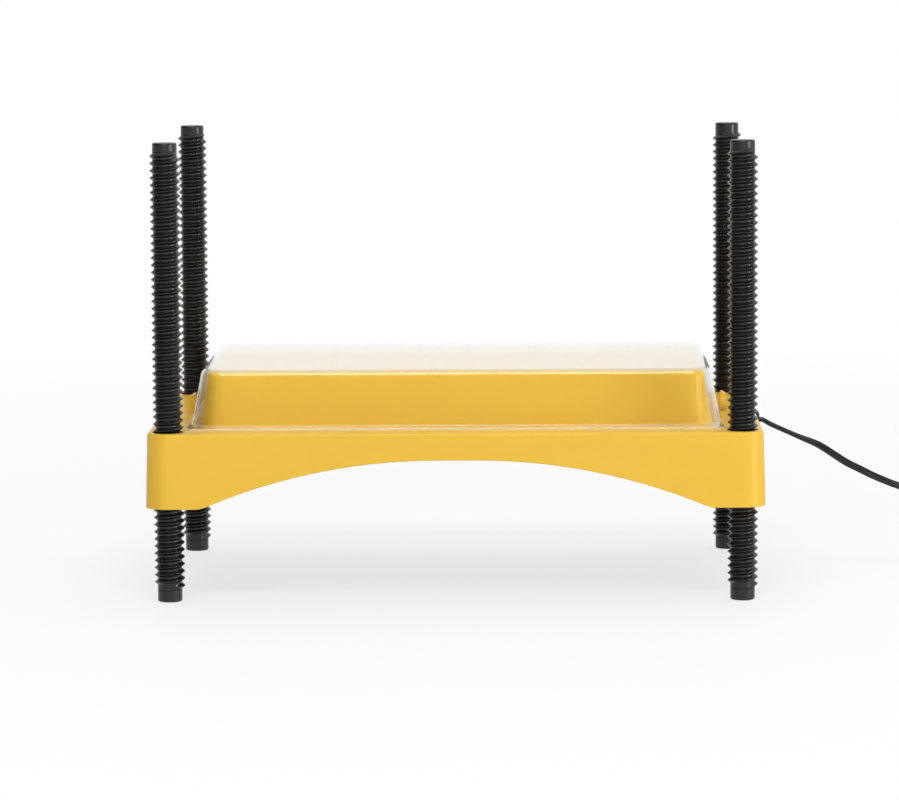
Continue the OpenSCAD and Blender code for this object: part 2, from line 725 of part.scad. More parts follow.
module inner_cord() color(black) tube(inner_cord_route, cord_w, cord_t, tube_sides);

// The moulded stop on the cord: a block in the frame, a neck through the wall and a collar outside
module strain_relief() color(black) {
    translate([block_x0, -block_w / 2, block_bottom]) cube([block_l, block_w, block_top - block_bottom]);
    translate([block_x1 - eps, 0, z_cord]) rotate([0, 90, 0])
        cylinder(d = neck_d, h = wall_out - block_x1 + 2 * eps);
    translate([wall_out, 0, z_cord]) rotate([0, 90, 0]) cylinder(d = collar_d, h = collar_t);
}

module clamp_bar() color(metal) difference() {
    translate([block_x0 + bar_inset, -clamp_y - clamp_reach, block_bottom - bar_t])
        cube([block_l - 2 * bar_inset, 2 * (clamp_y + clamp_reach), bar_t]);
    clamp_places(screw_play, bar_t + 1);
}

module clamp_screws() color("#D8DADC") clamp_places(0, bar_t + clamp_grip);

module clamp_places(play, length) {
    for (y = [-1, 1]) translate([block_x, y * clamp_y, block_bottom - bar_t])
        screw_shape(clamp_screw_r, clamp_head_r, clamp_head_h, length, play);
}

// A leg: a hollow post with a ridge at each pitch and a plain tip on top
module leg(p) color(black) translate(p) difference() {
    rotate_extrude() polygon(concat(
        [[0, tip_len], [leg_root_d / 2, tip_len]],
        [for (i = [0:ridges - 1]) let (z = ridge_start + i * thread_pitch) each [
            [leg_root_d / 2, z - ridge_base / 2], [leg_crest_d / 2, z - ridge_crest / 2],
            [leg_crest_d / 2, z + ridge_crest / 2], [leg_root_d / 2, z + ridge_base / 2]
        ]],
        [[leg_root_d / 2, leg_len - tip_bevel], [leg_root_d / 2 - tip_bevel, leg_len], [0, leg_len]]
    ));
    translate([0, 0, tip_len - 1]) cylinder(d = leg_bore_d, h = leg_len - 2 * tip_len + 1);
}

// The foot that a leg turns on: a plain disc with a stem up the leg's bore
module foot(p) color(black) translate(p) rotate_extrude() polygon([
    [0, 0], [leg_root_d / 2 - tip_bevel, 0], [leg_root_d / 2, tip_bevel], [leg_root_d / 2, tip_len],
    [leg_bore_d / 2 - foot_play, tip_len], [leg_bore_d / 2 - foot_play, tip_len + foot_stem],
    [0, tip_len + foot_stem]
]);

module lead_run() color(black) tube(lead_route, cord_w, cord_t, tube_sides);

module lead_coil() color(black) {
    echo(least_gap_in_coil = least_gap(coil_route, cord_w, cord_t, coil_sides, coil_rings));
    tube(coil_route, cord_w, cord_t, coil_sides);
}

module lead_tail() color(black) tube(tail_route, cord_w, cord_t, tube_sides);

// A flat band round the bundle of turns
module coil_tie() color("#3A3A3A") translate(coil_centre) rotate(tie_angle) difference() {
    inner = coil_in - cord_w / 2 - tie_play;
    outer = coil_out + cord_w / 2 + tie_play;
    top = coil_top + tie_play;
    translate([inner - tie_t, -tie_w / 2, tie_lift])
        cube([outer - inner + 2 * tie_t, tie_w, top + tie_t - tie_lift]);
    translate([inner, -tie_w / 2 - 1, tie_lift + tie_t])
        cube([outer - inner, tie_w + 2, top - tie_t - tie_lift]);
}

module adaptor_boot() color(black) translate([adaptor_x, boot_y, z_boot]) rotate([-90, 0, 0])
    cylinder(r1 = cord_w / 2 + boot_grip, r2 = cord_w / 2 + boot_flare, h = boot_l);

module adaptor_half(height) {
    translate([adaptor_x, adaptor_y + adaptor_l / 2, 0]) leaning_block(
        adaptor_w, adaptor_l, adaptor_r, adaptor_lean / height, 0, height, adaptor_fillet);
}

module adaptor_base() color(black) translate([0, 0, parting]) mirror([0, 0, 1]) adaptor_half(parting);

module adaptor_cap() color(black) difference() {
    translate([0, 0, parting]) adaptor_half(adaptor_h - parting);
    blades(blade_play);
}

module plug_blades() color("#C8CACC") blades(0);

module blades(play) {
    for (x = [-1, 1]) translate([
        adaptor_x + x * blade_gap / 2 - blade_t / 2 - play, blade_y - blade_w / 2 - play,
        adaptor_h - blade_root - play
    ]) cube([blade_t + 2 * play, blade_w + 2 * play, blade_l + blade_root + 2 * play]);
}

top_shell();
clear_cover();
heater_plate();
plate_screws();
heat_spreader();
element_film();
heater_track();
insulation_pad();
bay_sheet();
thermal_cutout();
cutout_bracket();
cutout_rivets();
terminal_block();
terminal_screws();
line_wire();
element_wire();
return_wire();
inner_cord();
strain_relief();
clamp_bar();
clamp_screws();
leg(legs[0]);  // leg_front_left
leg(legs[1]);  // leg_front_right
leg(legs[2]);  // leg_back_left
leg(legs[3]);  // leg_back_right
foot(legs[0]);  // foot_front_left
foot(legs[1]);  // foot_front_right
foot(legs[2]);  // foot_back_left
foot(legs[3]);  // foot_back_right
lead_run();
lead_coil();
coil_tie();
lead_tail();
adaptor_boot();
adaptor_base();
adaptor_cap();
plug_blades();
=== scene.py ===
"""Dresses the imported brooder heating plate: moulded frame, clear cover, screw legs, lead and adaptor."""

import json
import logging
import math
from dataclasses import dataclass, field
from enum import Enum
from typing import Iterable, Sequence

import bmesh
import bpy
from mathutils import Matrix, Vector

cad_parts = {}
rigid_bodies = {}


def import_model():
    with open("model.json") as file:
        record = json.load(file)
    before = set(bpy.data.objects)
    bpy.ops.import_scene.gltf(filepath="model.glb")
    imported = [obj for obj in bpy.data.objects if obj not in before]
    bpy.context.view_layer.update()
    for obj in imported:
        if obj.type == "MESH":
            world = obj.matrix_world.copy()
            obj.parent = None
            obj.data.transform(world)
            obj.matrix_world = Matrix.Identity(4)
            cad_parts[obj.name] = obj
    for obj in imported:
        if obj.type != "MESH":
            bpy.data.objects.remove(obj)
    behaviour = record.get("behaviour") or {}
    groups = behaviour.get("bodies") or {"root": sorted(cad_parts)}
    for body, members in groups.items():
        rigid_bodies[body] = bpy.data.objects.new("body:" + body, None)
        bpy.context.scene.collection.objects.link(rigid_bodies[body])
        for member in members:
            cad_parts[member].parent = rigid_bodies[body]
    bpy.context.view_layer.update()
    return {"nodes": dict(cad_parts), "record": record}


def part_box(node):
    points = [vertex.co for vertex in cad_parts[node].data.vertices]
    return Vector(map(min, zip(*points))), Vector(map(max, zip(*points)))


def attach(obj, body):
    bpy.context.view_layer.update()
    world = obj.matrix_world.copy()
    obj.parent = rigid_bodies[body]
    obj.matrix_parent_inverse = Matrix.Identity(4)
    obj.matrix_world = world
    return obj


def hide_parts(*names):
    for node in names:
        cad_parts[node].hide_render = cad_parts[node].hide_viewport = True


LOG = logging.getLogger("brooder_plate")
MM = 0.001
WELD = 1e-6
RIGHT = Vector((1, 0, 0))
BACK = Vector((0, 1, 0))
UP = Vector((0, 0, 1))
Colour = tuple[float, float, float]
Triple = tuple[float, float, float]
Pair = tuple[float, float]
Shape = bmesh.types.BMesh
Vert = bmesh.types.BMVert
Edge = bmesh.types.BMEdge
Socket = bpy.types.NodeSocket
Thing = bpy.types.Object


class Body(Enum):
    """The bodies of the part that new pieces ride on, apart from the legs and feet."""

    FRAME = "frame"
    COVER = "cover"


class Corner(Enum):
    """The four corners of the frame, as signs of x and y."""

    FRONT_LEFT = (-1, -1)
    FRONT_RIGHT = (1, -1)
    BACK_LEFT = (-1, 1)
    BACK_RIGHT = (1, 1)

    @property
    def label(self) -> str:
        """The corner's name as the record spells it."""
        return self.name.lower()


class Graph:
    """A node tree and short ways to add to it."""

    def __init__(self, tree: bpy.types.NodeTree) -> None:
        """Takes up a tree."""
        self.tree = tree

    def add(self, kind: str, **values: object) -> bpy.types.Node:
        """Adds a node.

        Args:
            kind: The node's type.
            **values: Plain values for its sockets, with spaces in their names written as underscores.

        Returns:
            The node.
        """
        node = self.tree.nodes.new(kind)
        for name, value in values.items():
            node.inputs[name.replace("_", " ")].default_value = value
        return node

    def link(self, source: Socket, target: Socket) -> None:
        """Links two sockets."""
        self.tree.links.new(source, target)

    def ramp(self, source: Socket, start: Pair, end: Pair) -> Socket:
        """A level that runs from one value to another as its source grows, and holds beyond both.

        Args:
            source: The value that drives it.
            start: The source's value where the run starts, and the level there.
            end: The source's value where the run ends, and the level there.

        Returns:
            The level's socket.
        """
        node = self.add(
            "ShaderNodeMapRange", From_Min=start[0], From_Max=end[0], To_Min=start[1], To_Max=end[1])
        self.link(source, node.inputs["Value"])
        return node.outputs["Result"]

    def maths(self, operation: str, *sources: Socket | float) -> Socket:
        """Works out a value from others.

        Args:
            operation: The name of the working.
            *sources: Sockets or plain numbers.

        Returns:
            The result's socket.
        """
        node = self.add("ShaderNodeMath")
        node.operation = operation
        for slot, source in zip(node.inputs, sources):
            if isinstance(source, float):
                slot.default_value = source
            else:
                self.link(source, slot)
        return node.outputs["Value"]

    def mixed(self, share: Socket, first: Socket, second: Socket) -> Socket:
        """Mixes two shaders.

        Args:
            share: Nought for the first shader, one for the second.
            first: The first shader.
            second: The second shader.

        Returns:
            The mixed shader's socket.
        """
        node = self.add("ShaderNodeMixShader")
        for slot, source in zip(node.inputs, (share, first, second)):
            self.link(source, slot)
        return node.outputs["Shader"]

    def axes(self, place: Socket) -> bpy.types.NodeOutputs:
        """Splits a place into its axes.

        Args:
            place: The place.

        Returns:
            The sockets of X, Y and Z, by name.
        """
        node = self.add("ShaderNodeSeparateXYZ")
        self.link(place, node.inputs["Vector"])
        return node.outputs


class Surface(Graph):
    """A material in the making: one Principled shader and the nodes that feed it."""

    NOISE_LOW = 0.3
    NOISE_HIGH = 0.7
    FADE = 1.2

    def __init__(self, name: str) -> None:
        """Starts a material.

        Args:
            name: The material's name.
        """
        self.material = bpy.data.materials.new(name)
        self.material.use_nodes = True
        super().__init__(self.material.node_tree)
        self.shader = self.tree.nodes["Principled BSDF"]
        self.place = self.add("ShaderNodeTexCoord").outputs["Object"]

    def set(self, **values: object) -> None:
        """Sets plain values on the shader's own sockets, with spaces written as underscores."""
        for name, value in values.items():
            self.shader.inputs[name.replace("_", " ")].default_value = value

    def feed(self, source: Socket, name: str) -> None:
        """Links a socket to one of the shader's inputs."""
        self.link(source, self.shader.inputs[name])

    def show(self, shader: Socket) -> None:
        """Makes a shader the one that the surface shows."""
        self.link(shader, self.tree.nodes["Material Output"].inputs["Surface"])

    def noise(self, scale: float, detail: float, stretch: Triple = (1, 1, 1)) -> Socket:
        """Noise in the piece's own space.

        Args:
            scale: Lumps per metre.
            detail: Octaves of finer noise.
            stretch: Factors on the three axes, below one for long streaks.

        Returns:
            The noise value's socket.
        """
        mapping = self.add("ShaderNodeMapping", Scale=stretch)
        self.link(self.place, mapping.inputs["Vector"])
        node = self.add("ShaderNodeTexNoise", Scale=scale, Detail=detail)
        self.link(mapping.outputs["Vector"], node.inputs["Vector"])
        return node.outputs["Fac"]

    def spread(self, source: Socket, low: float, high: float) -> Socket:
        """Spreads the middle of a noise over a range."""
        return self.ramp(source, (self.NOISE_LOW, low), (self.NOISE_HIGH, high))

    def tint(self, source: Socket, colour: Colour, low: float, high: float) -> None:
        """Colours the surface between a darker and a lighter tone.

        Args:
            source: The noise that picks the tone.
            colour: The colour between the two.
            low: The factor on the colour where the noise is low.
            high: The factor where it is high.
        """
        node = self.add("ShaderNodeMix")
        node.data_type = "RGBA"
        self.link(self.spread(source, 0.0, 1.0), node.inputs[0])
        # The two colours come after the sockets for plain numbers and vectors.
        for slot, factor in zip(node.inputs[6:8], (low, high)):
            slot.default_value = (*(min(1.0, channel * factor) for channel in colour), 1.0)
        self.feed(node.outputs[2], "Base Color")

    def roughen(self, source: Socket, gloss: float, low: float, high: float) -> None:
        """Varies the surface's roughness.

        Args:
            source: The noise that varies it.
            gloss: The roughness between the two ends.
            low: The factor on it where the noise is low.
            high: The factor where it is high.
        """
        self.feed(self.spread(source, gloss * low, gloss * high), "Roughness")

    def about(self, height: float, reach: float, value: float, elsewhere: float) -> Socket:
        """A value that holds about a height of the piece and fades to another away from it.

        Args:
            height: The height.
            reach: How far above and below it the value holds.
            value: The value there.
            elsewhere: The value away from there.

        Returns:
            The value's socket.
        """
        off = self.maths("SUBTRACT", self.axes(self.place)["Z"], height)
        away = self.maths("ABSOLUTE", off)
        return self.ramp(away, (reach, value), (reach * self.FADE, elsewhere))

    def bump(self, *layers: tuple[Socket, float]) -> None:
        """Raises the surface by one or more heights, laid one on the other.

        Args:
            *layers: Pairs of a height and its depth in metres.
        """
        under = None
        for height, depth in layers:
            node = self.add("ShaderNodeBump", Strength=1.0, Distance=depth)
            self.link(height, node.inputs["Height"])
            if under is not None:
                self.link(under, node.inputs["Normal"])
            under = node.outputs["Normal"]
        self.feed(under, "Normal")


@dataclass(frozen=True)
class Finish:
    """A finish: its name, its colour and the way it dresses a surface."""

    name: str
    colour: Colour

    def dress(self, surface: Surface) -> None:
        """Adds the finish's own nodes to a surface."""
        raise NotImplementedError

    def build(self) -> bpy.types.Material:
        """Makes the material.

        Returns:
            The material.
        """
        surface = Surface(self.name)
        self.dress(surface)
        return surface.material


@dataclass(frozen=True)
class MouldedPlastic(Finish):
    """Injection-moulded plastic: even colour with faint flow marks, a soft gloss and a fine skin."""

    gloss: float
    flow: float = 0.04
    skin: float = 0.000012
    skin_scale: float = 1400.0
    shine: float = 0.5
    sink: float = 2.5

    def dress(self, surface: Surface) -> None:
        """Adds the finish's own nodes to a surface.

        Args:
            surface: The surface.
        """
        flow = surface.noise(scale=14.0, detail=4.0, stretch=(1.0, 1.0, 2.5))
        surface.tint(flow, self.colour, low=1 - self.flow, high=1 + self.flow)
        wear = surface.noise(scale=90.0, detail=5.0, stretch=(1.0, 1.0, 0.4))
        surface.roughen(wear, self.gloss, low=0.85, high=1.2)
        waves = surface.noise(scale=45.0, detail=2.0)
        grain = surface.noise(self.skin_scale, detail=2.0)
        surface.bump((waves, self.skin * self.sink), (grain, self.skin))
        surface.set(IOR=1.5, Specular_IOR_Level=self.shine)


@dataclass(frozen=True)
class ClearPlastic(Finish):
    """Thin clear sheet with faint rub marks and a milky cut edge.

    The sheet itself hardly bends light, a clear coat gives its gloss, and lamps shine through it.
    """

    gloss: float
    cut_edge: float
    shade: float
    edge_reach: float = 0.35 * MM
    edge_clear: float = 0.55
    waviness: float = 0.000012

    def dress(self, surface: Surface) -> None:
        """Adds the finish's own nodes to a surface.

        Args:
            surface: The surface.
        """
        rubs = surface.noise(scale=60.0, detail=6.0, stretch=(0.35, 2.5, 1.0))
        surface.roughen(rubs, self.gloss, low=0.5, high=1.6)
        clear = surface.about(self.cut_edge, self.edge_reach, self.edge_clear, elsewhere=1.0)
        surface.feed(clear, "Transmission Weight")
        surface.bump((surface.noise(scale=22.0, detail=1.0), self.waviness))
        surface.set(Base_Color=(*self.colour, 1.0), IOR=1.001)
        surface.set(Coat_Weight=1.0, Coat_IOR=1.55, Coat_Roughness=0.03)
        path = surface.add("ShaderNodeLightPath").outputs
        through = surface.add("ShaderNodeBsdfTransparent", Color=(self.shade, self.shade, self.shade, 1.0))
        surface.show(surface.mixed(path["Is Shadow Ray"], surface.shader.outputs[0], through.outputs[0]))


@dataclass(frozen=True)
class WorkedMetal(Finish):
    """Rolled or plated metal with fine streaks along one axis."""

    gloss: float
    streaks: Triple = (0.05, 1.0, 1.0)
    scratch: float = 0.000006

    def dress(self, surface: Surface) -> None:
        """Adds the finish's own nodes to a surface.

        Args:
            surface: The surface.
        """
        streak = surface.noise(scale=1800.0, detail=3.0, stretch=self.streaks)
        surface.tint(surface.noise(scale=120.0, detail=4.0), self.colour, low=0.9, high=1.06)
        surface.roughen(streak, self.gloss, low=0.75, high=1.35)
        surface.bump((streak, self.scratch))
        surface.set(Metallic=1.0)


@dataclass(frozen=True)
class Sleeving(Finish):
    """Soft vinyl sleeving on wires and leads, a little uneven."""

    gloss: float
    grain: float = 0.00001

    def dress(self, surface: Surface) -> None:
        """Adds the finish's own nodes to a surface.

        Args:
            surface: The surface.
        """
        surface.tint(surface.noise(scale=160.0, detail=4.0), self.colour, low=0.8, high=1.25)
        surface.roughen(surface.noise(scale=420.0, detail=4.0), self.gloss, low=0.8, high=1.25)
        surface.bump((surface.noise(scale=2600.0, detail=2.0), self.grain))
        surface.set(IOR=1.5, Specular_IOR_Level=0.45)


@dataclass(frozen=True)
class Felt(Finish):
    """Needled felt: a mat of short fibres."""

    lumps: float = 0.0006
    pile: float = 0.0002

    def dress(self, surface: Surface) -> None:
        """Adds the finish's own nodes to a surface.

        Args:
            surface: The surface.
        """
        fibre = surface.noise(scale=1500.0, detail=6.0, stretch=(1.0, 0.3, 1.0))
        surface.tint(fibre, self.colour, low=0.72, high=1.12)
        surface.bump((surface.noise(scale=160.0, detail=3.0), self.lumps), (fibre, self.pile))
        surface.set(Roughness=0.95, Sheen_Weight=0.3)


@dataclass
class Finishes:
    """Every finish on the part, made once and shared by slot name."""

    made: dict[str, bpy.types.Material] = field(default_factory=dict)

    def build(self) -> None:
        """Makes all the materials."""
        recipes = {
            "yellow_plastic": MouldedPlastic(
                "yellow_moulding", (0.80, 0.49, 0.045), gloss=0.33, flow=0.02, skin=0.000006, shine=0.25),
            "clear_plastic": ClearPlastic(
                "clear_sheet", (0.9, 0.91, 0.91), gloss=0.02, cut_edge=83.15 * MM, shade=0.8),
            "black_plastic": MouldedPlastic(
                "black_moulding", (0.006, 0.0058, 0.0056), gloss=0.3, flow=0.15, skin=0.00002),
            "plate_black": MouldedPlastic(
                "matt_black_moulding", (0.02, 0.02, 0.021), gloss=0.6, flow=0.12, skin=0.00004,
                skin_scale=1900.0),
            "steel": WorkedMetal("zinc_plated_steel", (0.56, 0.57, 0.58), gloss=0.32),
            "aluminium": WorkedMetal("rolled_aluminium", (0.72, 0.73, 0.74), gloss=0.3),
            "amber_film": MouldedPlastic("amber_film", (0.5, 0.24, 0.05), gloss=0.18, flow=0.06),
            "track_metal": WorkedMetal("etched_foil", (0.33, 0.28, 0.23), gloss=0.45),
            "insulation": Felt("insulation_felt", (0.78, 0.74, 0.62)),
            "sheet_board": MouldedPlastic(
                "pressed_board", (0.6, 0.5, 0.29), gloss=0.7, flow=0.14, skin=0.00005, skin_scale=700.0),
            "brown_plastic": MouldedPlastic("brown_resin", (0.04, 0.025, 0.015), gloss=0.4, flow=0.15),
            "white_plastic": MouldedPlastic("white_moulding", (0.78, 0.77, 0.72), gloss=0.45),
            "brass": WorkedMetal("turned_brass", (0.62, 0.45, 0.17), gloss=0.28),
            "red_wire": Sleeving("red_sleeving", (0.38, 0.03, 0.025), gloss=0.45),
            "blue_wire": Sleeving("blue_sleeving", (0.03, 0.055, 0.2), gloss=0.45),
            "black_cord": Sleeving("black_sleeving", (0.006, 0.006, 0.0063), gloss=0.28),
            "plated_blade": WorkedMetal(
                "nickel_plate", (0.66, 0.64, 0.6), gloss=0.2, streaks=(1.0, 1.0, 0.05)),
        }
        for slot, recipe in recipes.items():
            self.made[slot] = recipe.build()

    def dress(self, mesh: bpy.types.Mesh, slot: str) -> None:
        """Gives a mesh the finish of a slot, and no other."""
        mesh.materials.clear()
        mesh.materials.append(self.made[slot])


def shown(name: str, data: bpy.types.ID) -> Thing:
    """Adds an object to the scene.

    Args:
        name: The object's name.
        data: Its mesh, curve, lamp or camera.

    Returns:
        The object.
    """
    thing = bpy.data.objects.new(name, data)
    bpy.context.scene.collection.objects.link(thing)
    return thing


def mesh_of(shape: Shape, name: str) -> bpy.types.Mesh:
    """Makes a mesh out of a shape.

    Args:
        shape: The shape, which is freed.
        name: The mesh's name.

    Returns:
        The mesh.
    """
    mesh = bpy.data.meshes.new(name)
    shape.to_mesh(mesh)
    shape.free()
    return mesh


def settled(thing: Thing) -> bpy.types.Mesh:
    """The mesh that an object's modifiers or curve settings give."""
    graph = bpy.context.evaluated_depsgraph_get()
    return bpy.data.meshes.new_from_object(thing.evaluated_get(graph))


def shade_by_angle(mesh: bpy.types.Mesh, degrees: float = 32.0, broad: float = 3.0 * MM) -> None:
    """Shades a mesh smooth, apart from its broad flat faces and edges sharper than an angle.

    Args:
        mesh: The mesh.
        degrees: The angle past which an edge stays sharp.
        broad: How wide a face is, at the least, that stays flat.
    """
    for face in mesh.polygons:
        corners = [mesh.vertices[i].co for i in face.vertices]
        girth = sum((a - b).length for a, b in zip(corners, corners[1:] + corners[:1]))
        face.use_smooth = 2 * face.area < broad * girth
    mesh.set_sharp_from_angle(angle=math.radians(degrees))


@dataclass
class Workshop:
    """Turns shapes into finished pieces that ride on a body."""

    finishes: Finishes
    nodes: dict[str, Thing]
    flat_within: float = math.radians(0.3)

    def piece(self, shape: Shape, name: str, slot: str, replaced: Sequence[str],
              body: str = Body.FRAME.value) -> Thing:
        """Makes a piece out of a shape.

        Args:
            shape: The shape, which is freed.
            name: The piece's name.
            slot: The material slot that it takes its finish from.
            replaced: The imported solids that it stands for.
            body: The body that it rides on.

        Returns:
            The finished object.
        """
        bmesh.ops.remove_doubles(shape, verts=shape.verts, dist=WELD)
        bmesh.ops.recalc_face_normals(shape, faces=shape.faces)
        return self.adopt(mesh_of(shape, name), name, slot, replaced, body)

    def adopt(self, mesh: bpy.types.Mesh, name: str, slot: str, replaced: Sequence[str],
              body: str = Body.FRAME.value) -> Thing:
        """Makes a piece out of a finished mesh.

        Args:
            mesh: The mesh, in the part's frame.
            name: The piece's name.
            slot: The material slot that it takes its finish from.
            replaced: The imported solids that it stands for.
            body: The body that it rides on.

        Returns:
            The finished object.
        """
        self.finishes.dress(mesh, slot)
        shade_by_angle(mesh)
        thing = shown(name, mesh)
        thing.modifiers.new("even_shade", "WEIGHTED_NORMAL").keep_sharp = True
        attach(thing, body)
        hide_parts(*replaced)
        LOG.info("%s: %d faces on %s", name, len(mesh.polygons), body)
        return thing

    def copy_of(self, node: str) -> Shape:
        """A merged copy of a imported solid, with its flat faces whole.

        Args:
            node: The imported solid's name.

        Returns:
            The copy, ready to be shaped.
        """
        shape = bmesh.new()
        shape.from_mesh(self.nodes[node].data)
        bmesh.ops.remove_doubles(shape, verts=shape.verts, dist=2 * WELD)
        bmesh.ops.dissolve_limit(shape, angle_limit=self.flat_within, verts=shape.verts, edges=shape.edges)
        return shape


def only(kind: type, items: Iterable[object]) -> list:
    """The items of one kind, such as the edges among what an operator made."""
    return [item for item in items if isinstance(item, kind)]


def round_off(shape: Shape, where: Sequence[Edge | Vert], radius: float, segments: int,
              affect: str = "EDGES") -> None:
    """Rounds edges, or the corners of a flat face.

    Args:
        shape: The shape.
        where: The edges or the corners.
        radius: The rounding's size.
        segments: Faces or edges across the rounding.
        affect: Whether edges or vertices are rounded.
    """
    bmesh.ops.bevel(
        shape, geom=where, offset=radius, offset_type="OFFSET", segments=segments, profile=0.5,
        affect=affect, clamp_overlap=False, material=-1)


def ease_edges(shape: Shape, radius: float, segments: int, below: float = math.inf,
               sharp: float = 40.0) -> None:
    """Rounds the sharp edges that lie wholly below a height.

    Args:
        shape: The shape.
        radius: The rounding's size.
        segments: Faces across the rounding.
        below: The height.
        sharp: The angle, in degrees, past which an edge counts as sharp.
    """
    edges = [
        edge for edge in shape.edges
        if len(edge.link_faces) == 2 and edge.calc_face_angle() > math.radians(sharp)
        and all(vert.co.z < below for vert in edge.verts)
    ]
    round_off(shape, edges, radius, segments)


def block(shape: Shape, size: Triple) -> list[Vert]:
    """Adds a box about the origin.

    Args:
        shape: The shape that gets the box.
        size: The box's size.

    Returns:
        The box's corners.
    """
    corners = bmesh.ops.create_cube(shape, size=1.0)["verts"]
    bmesh.ops.scale(shape, vec=size, verts=corners)
    return corners


def rounded_plate(shape: Shape, width: float, depth: float, radius: float,
                  segments: int = 8) -> bmesh.types.BMFace:
    """Starts an empty shape with a flat face that has round corners, about the origin.

    Args:
        shape: The shape that gets the face.
        width: Size along x.
        depth: Size along y.
        radius: Corner radius.
        segments: Edges in each corner.

    Returns:
        The face.
    """
    corners = bmesh.ops.create_grid(shape, x_segments=1, y_segments=1, size=0.5)["verts"]
    bmesh.ops.scale(shape, vec=(width, depth, 1.0), verts=corners)
    round_off(shape, corners, radius, segments, "VERTICES")
    return max(shape.faces, key=lambda face: face.calc_area())


def climb(shape: Shape, face: bmesh.types.BMFace, steps: Iterable[Pair]) -> None:
    """Draws a face up and in, one ring of walls for each step.

    Args:
        shape: The shape that holds the face.
        face: The face that climbs.
        steps: Pairs of how far in and how far up.
    """
    for inward, up in steps:
        bmesh.ops.inset_region(
            shape, faces=[face], thickness=inward, depth=0.0, use_boundary=True, use_even_offset=True)
        bmesh.ops.translate(shape, vec=UP * up, verts=face.verts)


def rounding(radius: float, count: int) -> list[Pair]:
    """Steps that climb round a quarter of a circle, from a wall to a top.

    Args:
        radius: The circle's radius.
        count: How many steps.

    Returns:
        Pairs of how far in and how far up.
    """
    angles = [math.pi / 2 * i / count for i in range(count + 1)]
    return [
        (radius * (math.cos(a) - math.cos(b)), radius * (math.sin(b) - math.sin(a)))
        for a, b in zip(angles, angles[1:])
    ]


def outlined(shape: Shape, points: Iterable[Vector]) -> list[Vert | Edge]:
    """Adds a line through points, ready to be spun.

    Args:
        shape: The shape that gets the line.
        points: The points, in order.

    Returns:
        The line's vertices and edges.
    """
    verts = [shape.verts.new(point) for point in points]
    return verts + [shape.edges.new(pair) for pair in zip(verts, verts[1:])]


def turned(shape: Shape, outline: Sequence[Pair], place: Vector, axis: Vector, side: Vector,
           steps: int = 40) -> None:
    """Turns an outline round an axis, as on a lathe.

    Args:
        shape: The shape that gets the turned form.
        outline: Pairs of radius and distance along the axis.
        place: A point on the axis, where the distance is nought.
        axis: The axis.
        side: A direction square to it, along which radii are laid out.
        steps: Faces round the form.
    """
    line = outlined(shape, [place + side * radius + axis * along for radius, along in outline])
    bmesh.ops.spin(
        shape, geom=line, cent=place, axis=axis, dvec=(0, 0, 0), angle=math.tau, steps=steps,
        use_merge=True, use_duplicate=False)
    bmesh.ops.remove_doubles(shape, verts=shape.verts, dist=WELD)


def carve(shape: Shape, cutter: Shape, name: str) -> bpy.types.Mesh:
    """Cuts one shape out of another.

    Args:
        shape: The shape to cut, which is freed.
        cutter: The shape that is taken away, which is freed.
        name: The new mesh's name.

    Returns:
        A new mesh with the cut in it.
    """
    for solid in (shape, cutter):
        bmesh.ops.recalc_face_normals(solid, faces=solid.faces)
    blank = shown("blank", mesh_of(shape, "blank"))
    tool = shown("cutter", mesh_of(cutter, "cutter"))
    cut = blank.modifiers.new("cut", "BOOLEAN")
    cut.operation = "DIFFERENCE"
    cut.solver = "EXACT"
    cut.object = tool
    result = settled(blank)
    result.name = name
    for thing in (blank, tool):
        mesh = thing.data
        bpy.data.objects.remove(thing)
        bpy.data.meshes.remove(mesh)
    return result


@dataclass
class Moulding:
    """The yellow frame with its tray, and the plate under it."""

    workshop: Workshop
    edge: float = 0.45 * MM
    foot_top: float = 69.5 * MM

    def build(self) -> None:
        """Builds both pieces, with the edges of the frame's apron and feet eased."""
        shell = self.workshop.copy_of("top_shell")
        ease_edges(shell, self.edge, segments=3, below=self.foot_top)
        self.workshop.piece(shell, "moulded_frame", "yellow_plastic", ["top_shell"])
        plate = self.workshop.copy_of("heater_plate")
        self.workshop.piece(plate, "warm_plate", "plate_black", ["heater_plate"])


@dataclass
class ClearCover:
    """The clear cover over the tray."""

    workshop: Workshop
    flange_top: float = 83.8 * MM
    edge: float = 0.3 * MM
    lift: float = 0.1 * MM

    def build(self) -> None:
        """Builds the cover, which stands a hair above the deck, with its flange's edges eased."""
        shape = self.workshop.copy_of("clear_cover")
        low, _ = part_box("clear_cover")
        under = [vert for vert in shape.verts if vert.co.z < low.z + self.lift]
        bmesh.ops.translate(shape, vec=UP * self.lift, verts=under)
        ease_edges(shape, self.edge, segments=2, below=self.flange_top)
        self.workshop.piece(shape, "clear_lid", "clear_plastic", ["clear_cover"], Body.COVER.value)


